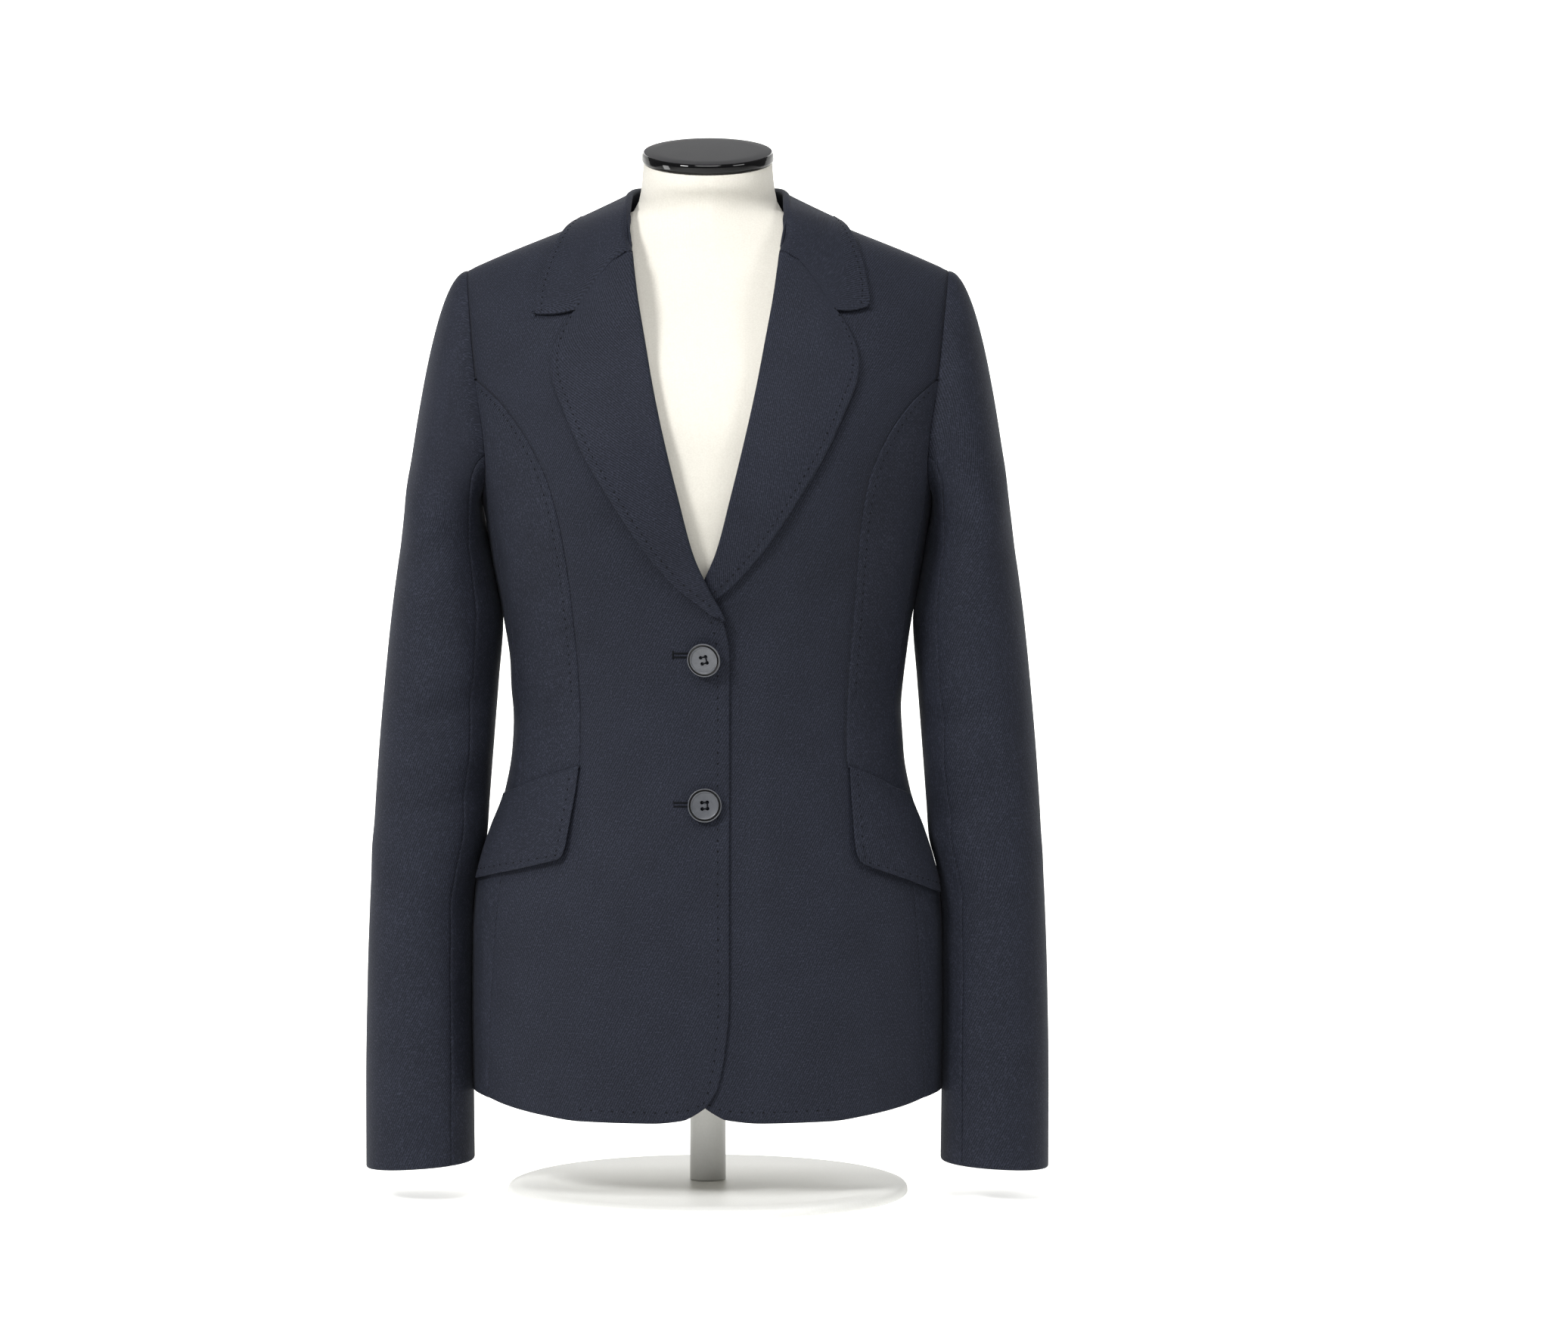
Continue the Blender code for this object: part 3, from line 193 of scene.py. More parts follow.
flap = {
    "topZ": 301.0, "fall": 16.0, "sideFall": 9.0, "outerAngle": 78.0, "columns": 40, "rows": 34,
    "seamX": 91.0,  # where the princess seam meets the pocket
    "shift": {"Left": 5.6, "Right": -5.6},  # the jacket hangs a little turned on the form
    "stand": (5.0, 2.4, 3.0),  # off the jacket: at the lower edge, the upper edge and the side
    "lowZ": 225.0,  # where the lower edge's angles are turned into places
    "inner": {
        "Left": spots(
            (301, 97.0), (280, 97.8), (262, 98.8), (248, 99.8), (241, 101), (236.3, 103.2), (233.8, 107),
        ),
        "Right": spots(
            (301, 85.0), (280, 87.6), (262, 90.4), (250, 92.4), (243.5, 93.8), (239.3, 95.6),
            (237.3, 98.6),
        ),
    },
    "low": {
        "Left": spots((233.8, 107), (228.5, 119), (220, 139), (211, 158)),
        "Right": spots((237.3, 98.6), (234.2, 109), (229.6, 126), (225.6, 142), (220.6, 158.6)),
    },
}


# Puts an object with this mesh, light or camera into the scene.
def addObject(name, data):
    thing = bpy.data.objects.new(name, data)
    bpy.context.scene.collection.objects.link(thing)
    return thing


def clamp(value, low=0.0, high=1.0):
    return max(low, min(high, value))


def soft(value):
    value = clamp(value)
    return value * value * (3 - 2 * value)


def lerp(a, b, t):
    return a + (b - a) * t


curves = {}


def along(rows, key, name, value):  # the named column at a value of the key column
    mark = (id(rows), key, name)
    if mark not in curves:
        keys = [getattr(row, key) for row in rows]
        values = [getattr(row, name) for row in rows]
        if keys[0] > keys[-1]:
            keys.reverse()
            values.reverse()
        slopes = [(q - p) / (b - a) for a, b, p, q in zip(keys, keys[1:], values, values[1:])]
        tangents = [slopes[0]]
        for before, after in zip(slopes, slopes[1:]):
            turns = before * after <= 0
            tangents.append(0.0 if turns else 2 * before * after / (before + after))
        curves[mark] = (keys, values, tangents + [slopes[-1]], rows)
    keys, values, tangents, _ = curves[mark]
    if value <= keys[0]:
        return values[0]
    if value >= keys[-1]:
        return values[-1]
    i = bisect.bisect_right(keys, value) - 1
    span = keys[i + 1] - keys[i]
    t = (value - keys[i]) / span
    rise = values[i] * (2 * t**3 - 3 * t**2 + 1) + values[i + 1] * (3 * t**2 - 2 * t**3)
    lean = tangents[i] * (t**3 - 2 * t**2 + t) + tangents[i + 1] * (t**3 - t**2)
    return rise + span * lean


# The point given by three columns, such as foldX, foldY and foldZ, at a value of the key column.
def pointAlong(rows, key, name, value):
    return Vector([along(rows, key, name + axis, value) for axis in "XYZ"])


# Half width of the body at this height, or its depth in front or behind.
def section(name, z):
    return along(body["sections"], "z", name, z)


def ridgeZ(x):
    return along(body["ridge"], "x", "z", abs(x))


# The skin of the body

def power(back):
    return body["backPower"] if back else body["frontPower"]


# Degrees round the body of the skin point that lies at this x, in front or behind.
def angleOf(x, z, back=False):
    share = clamp(abs(x) / section("wide", z), 0.0, 0.9995)
    angle = math.degrees(math.asin(share ** (power(back) / 2)))
    if back:
        angle = 180 - angle
    return math.copysign(angle, x) if x else angle


# Distance from the centre of the skin point at this angle.
def xOf(angle, z):
    share = abs(math.sin(math.radians(angle)))
    return section("wide", z) * share ** (2 / power(abs(angle) > 90))


# Point of the jacket's outer face, or one moved off it along the face's normal.
def skin(angle, z, out=0.0):
    here = skinPoint(angle, z)
    if not out:
        return here
    return here + skinNormal(angle, z) * out


def skinPoint(angle, z):
    back = abs(angle) > 90
    x = math.copysign(xOf(angle, z), angle)
    depth = section("back" if back else "front", z)
    y = depth * abs(math.cos(math.radians(angle))) ** (2 / power(back))
    if not back:
        bumpX = ((abs(x) - body["bustX"]) / body["bustSpreadX"]) ** 2
        bumpZ = ((z - body["bustZ"]) / body["bustSpreadZ"]) ** 2
        y += body["bustOut"] * math.exp(-bumpX - bumpZ) * soft(abs(math.cos(math.radians(angle))) * 2)
        y = -y
    q = clamp((ridgeZ(x) - z) / body["ridgeRound"])
    rise = math.sqrt(max(0.0, 1 - (1 - q) ** 2))
    return Vector((x, body["ridgeY"] + (y - body["ridgeY"]) * rise, z))


def skinNormal(angle, z):
    stepAngle = 0.4
    stepZ = 0.8
    angle = clamp(angle, stepAngle - 179.9, 179.9 - stepAngle)
    roundWay = skinPoint(angle + stepAngle, z) - skinPoint(angle - stepAngle, z)
    upWay = skinPoint(angle, z) - skinPoint(angle, z - stepZ)
    return roundWay.cross(upWay).normalized()


def skinAt(x, z, out=0.0, back=False):
    return skin(angleOf(x, z, back), z, out)


def skinFrame(x, z):
    return skinAt(x, z), skinNormal(angleOf(x, z), z)


def hemZ(x):
    return along(front["hem"], "x", "z", x)


# Hem of the side and back panels: highest at the side.
def hemHeight(angle):
    return along(back["hem"], "angle", "z", abs(angle))


# How far the left front sinks at this place, to pass under the right one.
def under(x, z):
    def left(value, name):
        start, length = front[name]
        return 1 - soft((value - start) / length)

    above = z - front["crossingZ"]
    overlap = front["underDepth"] * left(x, "underX") * left(above, "underUp")
    crossing = front["underExtra"] * left(x, "extraX")
    crossing *= left(above, "extraUp") if above > 0 else left(-above, "extraDown")
    return -(overlap + crossing)


def frontEdgeX(z):
    return along(front["edge"], "z", "x", z)


def princessX(z, side):
    shift = flap["shift"][side] * soft((body["junctionZ"] - z) / 170)
    return along(front["princess"], "z", "x", z) + shift


def armholeFront(z):
    return along(body["armholeFront"], "z", "angle", z)


def armholeBack(z):
    return along(body["armholeBack"], "z", "angle", z)


def sideSeam(z):
    return along(body["sideSeam"], "z", "angle", z)


def backSeam(z):
    return along(body["backSeam"], "z", "angle", z)


floorFront = [row for row in body["armholeFront"] if row.angle >= 66 and row.z < 520][::-1]
floorBack = [row for row in body["armholeBack"] if row.z < 530]


# Height of the armhole's lower edge at an angle near the side.
def armholeFloor(angle):
    return along(floorBack if angle > 90 else floorFront, "angle", "z", angle)


# Body panels: all are drawn on the wearer's left (+X), and clothPiece mirrors the right ones

# Front: from the hem to the shoulder, with the extra columns that run on under the pocket.
def frontGrid(side):
    sink = side == "Left"
    seamX = flap["seamX"] + flap["shift"][side]
    columns = front["columns"] + front["pocketColumns"]
    grid = []
    for j in range(front["lowRows"] + front["midRows"] + front["topRows"] + 1):
        row = []
        for i in range(columns + 1):
            c = min(1.0, i / front["columns"])
            if j <= front["lowRows"]:
                v = j / front["lowRows"]
                innerZ = lerp(front["edge"][0].z, flap["topZ"], v)
                midX = lerp(front["lowSeamX"], seamX, v)
                x = lerp(frontEdgeX(innerZ), midX, c)
                bottomX = lerp(front["edge"][0].x, front["lowSeamX"], c)
                if i > front["columns"]:
                    c = (i - front["columns"]) / front["pocketColumns"]
                    bottomAngle = lerp(angleOf(front["lowSeamX"], body["hemZ"]), sideSeam(body["hemZ"]), c)
                    bottom = hemZ(xOf(bottomAngle, body["hemZ"]))
                    z = lerp(bottom, lerp(flap["topZ"], body["pocketSideZ"], c), v)
                    angle = lerp(angleOf(midX, z), sideSeam(z), c)
                    row.append(skin(angle, z))
                    continue
                z = lerp(hemZ(bottomX), flap["topZ"], v)
            elif i > front["columns"]:
                row.append(None)
                continue
            elif j <= front["lowRows"] + front["midRows"]:
                z = lerp(flap["topZ"], body["junctionZ"], (j - front["lowRows"]) / front["midRows"])
                x = lerp(frontEdgeX(z), princessX(z, side), c)
            else:
                f = 1 - (1 - (j - front["lowRows"] - front["midRows"]) / front["topRows"]) ** 2
                innerZ = lerp(body["junctionZ"], ridgeZ(body["neckHalf"]), f)
                outerZ = lerp(body["junctionZ"], body["shoulderZ"], f)
                x = lerp(frontEdgeX(innerZ), xOf(armholeFront(outerZ), outerZ), c)
                z = lerp(body["junctionZ"], ridgeZ(max(x, body["neckHalf"])), f)
            row.append(skinAt(x, z, under(x, z) if sink else 0.0))
        grid.append(row)
    return grid


# Between the princess seam and the side panel, from the pocket to the armhole.
def sideFrontGrid(side, columns=20):
    grid = []
    for j in range(front["midRows"] + 1):
        innerZ = lerp(flap["topZ"], body["junctionZ"], j / front["midRows"])
        if j == front["midRows"]:
            innerZ = body["junctionZ"] - 1
        innerX = princessX(innerZ, side)
        if j <= front["sideMidRows"]:
            outerZ = lerp(body["pocketSideZ"], body["sideTopZ"], j / front["sideMidRows"])
            outer = sideSeam(outerZ)
        else:
            share = (j - front["sideMidRows"]) / (front["midRows"] - front["sideMidRows"])
            outerZ = lerp(body["sideTopZ"], body["junctionZ"], share)
            outer = armholeFront(outerZ)
        inner = angleOf(innerX, innerZ)
        row = []
        for i in range(columns + 1):
            u = i / columns
            row.append(skin(lerp(inner, outer, u), lerp(innerZ, outerZ, u)))
        grid.append(row)
    return grid


# Height of a row of the side panel and of the back beside it.
def sideLevel(j, bottom, top):
    if j <= front["lowRows"]:
        return lerp(bottom, body["pocketSideZ"], j / front["lowRows"])
    return lerp(body["pocketSideZ"], top, (j - front["lowRows"]) / front["sideMidRows"])


def sideGrid(columns=26):
    grid = []
    for j in range(front["lowRows"] + front["sideMidRows"] + 1):
        row = []
        for i in range(columns + 1):
            u = i / columns
            topAngle = lerp(*body["sideTop"], u)
            bottom = hemHeight(lerp(sideSeam(body["hemZ"]), backSeam(body["hemZ"]), u))
            z = sideLevel(j, bottom, armholeFloor(topAngle))
            row.append(skin(lerp(sideSeam(z), backSeam(z), u), z))
        grid.append(row)
    return grid


# Height of the neck seam on the skin, where its plan is an ellipse about the ridge.
def neckPoint(x, back):
    y = body["ridgeY"] + body["neckBack"] * math.sqrt(max(0.0, 1 - (x / body["neckHalf"]) ** 2))
    z = ridgeZ(x)
    for _ in range(6):
        depth = skinDepth(x, z, back)
        rise = clamp((y - body["ridgeY"]) / (depth - body["ridgeY"]), 0.0, 0.999)
        z = ridgeZ(x) - body["ridgeRound"] * (1 - math.sqrt(1 - rise * rise))
    return z


# Depth of the body at this x before the shoulder turns it over.
def skinDepth(x, z, back):
    share = clamp(abs(x) / section("wide", z), 0.0, 1.0)
    n = power(back)
    flat = (1 - share**n) ** (1 / n)
    return section("back" if back else "front", z) * flat


# Back: columns from the side seam or armhole in to the centre back seam.
def backGrid():
    grid = []
    for j in range(back["lowRows"] + back["topRows"] + 1):
        row = []
        for share in reversed(back["shares"]):
            if j <= back["lowRows"]:
                bottom = hemHeight(lerp(180, backSeam(body["hemZ"]), share))
                z = sideLevel(j, bottom, back["armholeZ"])
                outer = backSeam(z)
                x = xOf(outer, z) * share
                angle = outer if share == 1.0 else angleOf(x, z, True)
                row.append(skin(angle, z))
                continue
            f = 1 - (1 - (j - back["lowRows"]) / back["topRows"]) ** 2
            outerZ = lerp(back["armholeZ"], body["shoulderZ"], f)
            x = xOf(armholeBack(outerZ), outerZ) * share
            blend = lerp(x, body["shoulderX"] * share, soft(f))
            top = ridgeZ(blend) if blend >= body["neckHalf"] - 0.5 else neckPoint(blend, True)
            z = lerp(back["armholeZ"], top, f)
            row.append(skinAt(blend, z, back=True))
        grid.append(row)
    return grid


# Lapel

# A smooth line through the rows, in short steps.
def smoothPath(rows, steps=8):
    line = [rows[0]]
    for i in range(len(rows) - 1):
        near = (rows[max(i - 1, 0)], rows[i], rows[i + 1], rows[min(i + 2, len(rows) - 1)])
        for k in range(1, steps + 1):
            t = k / steps
            line.append(spot(*(
                q + 0.5 * t * (r - p + t * (2 * p - 5 * q + 4 * r - w + t * (3 * q - p - 3 * r + w)))
                for p, q, r, w in zip(*near)
            )))
    return tuple(line)


pathLengths = {}


# (x, z) at a share of the length of a line through the rows.
def pathPoint(rows, share):
    if id(rows) not in pathLengths:
        lengths = [0.0]
        for a, b in zip(rows, rows[1:]):
            lengths.append(lengths[-1] + math.hypot(b.x - a.x, b.z - a.z))
        pathLengths[id(rows)] = (lengths, rows)
    lengths = pathLengths[id(rows)][0]
    want = share * lengths[-1]
    i = min(len(rows) - 2, max(0, bisect.bisect_right(lengths, want) - 1))
    t = clamp((want - lengths[i]) / (lengths[i + 1] - lengths[i]))
    return lerp(rows[i].x, rows[i + 1].x, t), lerp(rows[i].z, rows[i + 1].z, t)


rollLine = tuple(
    spot(z, frontEdgeX(z)) for z in (lerp(lapel["breakZ"], lapel["gorgeZ"], k / 60) for k in range(61))
)
lapelEdge = smoothPath(lapel["edge"])
gorge = smoothPath(lapel["gorge"])


# Point, normal and direction towards the opening at a share of the roll line.
def rollFrame(share, sink):
    x, z = pathPoint(rollLine, share)
    aheadX, aheadZ = pathPoint(rollLine, min(1.0, share + 0.01))
    behindX, behindZ = pathPoint(rollLine, max(0.0, share - 0.01))
    sunk = under(x, z) if sink else 0.0
    point = skinAt(x, z, sunk)
    normal = skinNormal(angleOf(x, z), z)
    line = (skinAt(aheadX, aheadZ) - skinAt(behindX, behindZ)).normalized()
    towards = normal.cross(line).normalized()
    if towards.x > 0:
        towards.negate()
    return point, normal, towards


# Lapel: rolled out round the front's edge, then lying on the chest. Columns run outwards.
def lapelGrid(sink):
    grid = []
    for j in range(lapel["rows"] + 1):
        share = lerp(lapel["leftStart"] if sink else 0.0, 1.0, j / lapel["rows"])
        radius = lerp(lapel["breakRadius"], lapel["rollRadius"], soft(share / 0.15))
        point, normal, towards = rollFrame(share, sink)
        centre = point + normal * (radius - cloth["wall"]) + towards * lapel["rollGap"]
        row = []
        for k in range(lapel["rollSteps"]):
            turn = math.radians(-90 + 180 * k / lapel["rollSteps"])
            row.append(centre + normal * (radius * math.sin(turn)) + towards * (radius * math.cos(turn)))
        rollX, rollZ = pathPoint(rollLine, share)
        edgeX, edgeZ = pathPoint(lapelEdge, share)
        top = 2 * radius - cloth["wall"]
        atBreak, atBelly, atNotch = lapel["edgeOut"]
        stand = lerp(lerp(atBreak, atBelly, soft(share / 0.35)), atNotch, soft((share - 0.8) / 0.2))
        for k in range(lapel["steps"] + 1):
            u = k / lapel["steps"]
            x, z = lerp(rollX, edgeX, u), lerp(rollZ, edgeZ, u)
            bend = soft((share - 0.7) / 0.3)
            gorgeX, gorgeZ = pathPoint(gorge, u)
            x += (gorgeX - lerp(gorge[0].x, gorge[-1].x, u)) * bend
            z += (gorgeZ - lerp(gorge[0].z, gorge[-1].z, u)) * bend
            out = lerp(top, stand, soft(u * 1.15)) + 0.5 * math.sin(math.pi * u) ** 2
            if sink:
                out += under(x, z)
            row.append(skinAt(x, z, out))
        grid.append(row)
    return grid


# Collar

# Points and normals of the skin round the neck and shoulders, for laying the collar on it.
def bodyMap(levels=45, reach=90.0, widthZ=655.0):
    found = []
    for angle in range(0, 181, 3):
        for step in range(1, levels + 1):
            z = ridgeZ(xOf(angle, widthZ)) - reach * (step / levels) ** 2
            found.append((skinPoint(angle, z), skinNormal(angle, z)))
    tree = KDTree(len(found))
    for number, (point, _) in enumerate(found):
        tree.insert(point, number)
    tree.balance()
    return tree, found


# The point moved along the skin's normal to lie this far off it, or at least this far.
def laid(point, out, near, onlyOut=True):
    tree, found = near
    for _ in range(3):
        _, number, _ = tree.find(point)
        base, normal = found[number]
        depth = (point - base).dot(normal)
        if onlyOut and depth >= out:
            break
        point = point + normal * (out - depth)
    return point


# Where the stand is sewn on, from the gorge over the shoulder to the centre back.
def neckSeamPoint(t):
    over = collar["shoulderAt"]
    if t <= over:
        z = lerp(lapel["gorgeZ"], collar["shoulderZ"], t / over)
        return skinAt(frontEdgeX(z), z)
    turn = (t - over) / (1 - over) * math.pi / 2
    x = body["neckHalf"] * math.cos(turn)
    return Vector((x, body["ridgeY"] + body["neckBack"] * math.sin(turn), neckPoint(x, True)))


collarEnds = {
    side: gorge + smoothPath((gorge[-1], collar["sag"][side], collar["tip"][side]))[1:]
    for side in ("Left", "Right")
}
collarTables = {}


def collarRows(firstFold, side):
    if side not in collarTables:
        tip = collar["tip"][side]
        first = type(collar["ribs"][0])(0.0, *firstFold, tip.x, -72, tip.z)
        shift = tip.x - collar["tipMiddle"]
        moved = [row._replace(edgeX=row.edgeX + shift * (1 - soft(row.t / 0.45))) for row in collar["ribs"]]
        collarTables[side] = [first] + moved
    return collarTables[side]


# Shares of the collar's width: even up to the notch, then closer towards the outer edge.
def fallShares(side):
    lengths = [(b.x - a.x) ** 2 + (b.z - a.z) ** 2 for a, b in zip(collarEnds[side], collarEnds[side][1:])]
    lengths = [math.sqrt(v) for v in lengths]
    notch = sum(lengths[:len(gorge) - 1]) / sum(lengths)
    even, close = collar["fallSteps"], collar["tipSteps"]
    shares = [notch * k / even for k in range(even)]
    return shares + [1 - (1 - notch) * (1 - k / close) ** collar["tipCrowding"] for k in range(close + 1)]


# One section of the collar: stand, fold and fall.
def collarRib(t, near, side):
    rollPoint, rollNormal, rollTowards = rollFrame(1.0, False)
    seam = neckSeamPoint(t)
    radius = lapel["rollRadius"]
    firstFold = rollPoint + rollNormal * (radius - cloth["wall"]) + rollTowards * (radius + lapel["rollGap"])
    rows = collarRows(firstFold, side)
    fold = pointAlong(rows, "t", "fold", t)
    settled = soft(t / 0.32)
    outward = Vector((fold.x, fold.y - body["ridgeY"], 0)).normalized()
    outward = rollNormal.lerp(outward, settled).normalized()
    upward = (fold - seam).normalized() if t > 0 else rollTowards
    upward = rollTowards.lerp(upward, settled)
    upward = (upward - outward * upward.dot(outward)).normalized()
    centre = fold - upward * radius
    neckWay = Vector((-seam.x, body["ridgeY"] - seam.y, 0)).normalized()
    tree, found = near
    normal = found[tree.find(seam)[1]][1]  # of the skin at the seam
    neckWay = (neckWay - normal * neckWay.dot(normal)).normalized()
    standStart = seam + neckWay * (cloth["wall"] + collar["standGap"]) - normal * collar["standGap"]
    start = (centre - outward * radius).lerp(standStart, soft(t / 0.06))
    inner = centre - outward * radius
    rib = []
    for k in range(collar["standSteps"]):
        rib.append(start.lerp(inner, k / collar["standSteps"]))
    for k in range(lapel["rollSteps"]):
        turn = math.radians(180 - 180 * k / lapel["rollSteps"])
        rib.append(centre + outward * (radius * math.cos(turn)) + upward * (radius * math.sin(turn)))
    edge = pointAlong(rows, "t", "edge", t)
    overRidge = collar["ridgeLift"] * math.exp(-(((t - 0.4) / 0.12) ** 2))
    overRidge += collar["ridgeLift"] * soft((t - 0.5) / 0.2)
    edge = laid(edge, collar["edgeOut"] + overRidge, near, False)
    outer = centre + outward * radius
    for w in fallShares(side):
        point = outer.lerp(edge, w)
        if t < collar["startWidth"]:
            x, z = pathPoint(collarEnds[side], w)
            onGorge = skinAt(x, z, lerp(lapel["rollOut"], collar["edgeOut"], soft(w * 1.4)))
            point = onGorge.lerp(point, soft(t / collar["startWidth"]))
        least = lerp(lapel["rollOut"], collar["edgeOut"], soft(w * 1.3)) + overRidge
        rib.append(laid(point, least, near))
    return rib


# Rounds the corner where the collar's end meets its outer edge.
def roundTip(ribs, radius):
    corner = ribs[0][-1].copy()
    endWay = (ribs[0][-4] - corner).normalized()
    edgeWay = (ribs[6][-1] - corner).normalized()
    lean = endWay.dot(edgeWay)
    reachRibs, reachPoints = collar["tipReach"]
    for rib in ribs[:reachRibs]:
        for k in range(len(rib) - reachPoints, len(rib)):
            a, b = (rib[k] - corner).dot(endWay), (rib[k] - corner).dot(edgeWay)
            u = 1 - clamp((a - lean * b) / (1 - lean * lean) / radius)
            v = 1 - clamp((b - lean * a) / (1 - lean * lean) / radius)
            rib[k] = rib[k] + endWay * (radius * u * (1 - math.sqrt(1 - v * v / 2)))
            rib[k] = rib[k] + edgeWay * (radius * v * (1 - math.sqrt(1 - u * u / 2)))


def collarGrid():
    near = bodyMap()
    halves = {side: [collarRib(t, near, side) for t in collar["stations"]] for side in ("Left", "Right")}
    for half in halves.values():
        roundTip(half, collar["tipRound"])
    other = [[Vector((-p.x, p.y, p.z)) for p in rib] for rib in reversed(halves["Right"][:-1])]
    ribs = halves["Left"] + other
    return [[rib[k] for rib in reversed(ribs)] for k in range(len(ribs[0]))]


# Sleeves

# Points round the armhole from the shoulder, down the front and up the back.
def armholeLoop(count):
    steps = 80
    line = []
    for k in range(steps + 1):
        z = lerp(body["shoulderZ"], body["armholeZ"], soft(k / steps))
        line.append(skin(armholeFront(z), z))
    for k in range(1, steps + 1):
        z = lerp(body["armholeZ"], body["shoulderZ"], soft(k / steps))
        line.append(skin(armholeBack(z), z))
    lengths = [0.0]
    for a, b in zip(line, line[1:]):
        lengths.append(lengths[-1] + (b - a).length)
    points = []
    for k in range(count):
        want = lengths[-1] * k / count
        i = min(len(line) - 2, bisect.bisect_right(lengths, want) - 1)
        t = (want - lengths[i]) / max(1e-9, lengths[i + 1] - lengths[i])
        points.append(line[i].lerp(line[i + 1], t))
    return points


# A section of the sleeve. Its first point is the outermost one, and the next go to the front.
def sleeveRing(row, count, tilt=0.0):
    middleX = (row.inner + row.outer) / 2
    halfX = (row.outer - row.inner) / 2
    middleY = (row.front + row.back) / 2
    halfY = (row.back - row.front) / 2
    ring = []
    for k in range(count):
        turn = 2 * math.pi * k / count
        c, s = math.cos(turn), math.sin(turn)
        x = middleX + halfX * math.copysign(abs(c) ** (2 / sleeve["power"]), c)
        y = middleY - halfY * math.copysign(abs(s) ** (2 / sleeve["power"]), s)
        ring.append(Vector((x, y, row.z - tilt * (x - middleX))))
    return ring


# Rings from the cuff up to the armhole.
def sleeveRows():
    rings = []
    sections = sleeve["sections"]
    for j in range(sleeve["rings"] + 1):
        z = lerp(sections[-1].z, sections[0].z, j / sleeve["rings"])
        row = type(sections[0])(z, *(along(sections, "z", name, z) for name in sections[0]._fields[1:]))
        tilt = sleeve["hemLean"] * clamp((90 - row.z) / 60)
        rings.append(sleeveRing(row, sleeve["sides"], tilt))
    top = rings[-1]
    hole = armholeLoop(sleeve["sides"])
    for j in range(1, sleeve["headRows"] + 1):
        t = 1 - j / sleeve["headRows"]
        ring = []
        for k in range(sleeve["sides"]):
            start, end = (
                pointAlong(sleeve["head"], "turn", name, k / sleeve["sides"]) for name in ("start", "end")
            )
            a = hole[k] + start.normalized() * sleeve["armholeGap"]
            b = a + start
            d = top[k]
            c = d + end
            ring.append(
                a * (1 - t) ** 3 + b * (3 * t * (1 - t) ** 2) + c * (3 * t * t * (1 - t)) + d * t**3
            )
        rings.append(ring)
    return rings


# Columns of the sleeve from one seam to the other, seen from outside left to right.
def sleevePart(first, last):
    order = [k % sleeve["sides"] for k in range(last, first - 1, -1)]
    return [[ring[k] for k in order] for ring in sleeveRows()]


# Flap

# Slanted flap with a rounded inner corner, standing off a little more towards its lower edge.
def flapGrid(side):
    inner, low = smoothPath(flap["inner"][side], 6), smoothPath(flap["low"][side], 4)
    top, corner = inner[0], inner[-1]
    topStart, lowStart = angleOf(top.x, top.z), angleOf(corner.x, corner.z)
    seamStart = angleOf(flap["seamX"] + flap["shift"][side], flap["topZ"])
    seamEnd = sideSeam(body["pocketSideZ"])
    lower, upper, aside = flap["stand"]
    grid = []
    for j in range(flap["rows"] + 1):
        v = j / flap["rows"]
        innerX, innerZ = pathPoint(inner, 1 - v)
        start = angleOf(innerX, innerZ)
        row = []
        for i in range(flap["columns"] + 1):
            u = i / flap["columns"]
            lowZ = along(low, "x", "z", xOf(lerp(lowStart, flap["outerAngle"], u), flap["lowZ"]))
            share = (lerp(topStart, flap["outerAngle"], u) - seamStart) / (seamEnd - seamStart)
            topZ = flap["topZ"] - flap["fall"] * clamp(share) - flap["sideFall"] * max(0.0, share - 1)
            z = lerp(lowZ, topZ, (innerZ - corner.z) / (top.z - corner.z))
            out = lerp(lerp(lower, aside, soft(u)), upper, soft(v))
            row.append(skin(lerp(start, flap["outerAngle"], u), z, out))
        grid.append(row)
    return grid


# Folds: each runs from one place to another and is a trough where its depth is negative

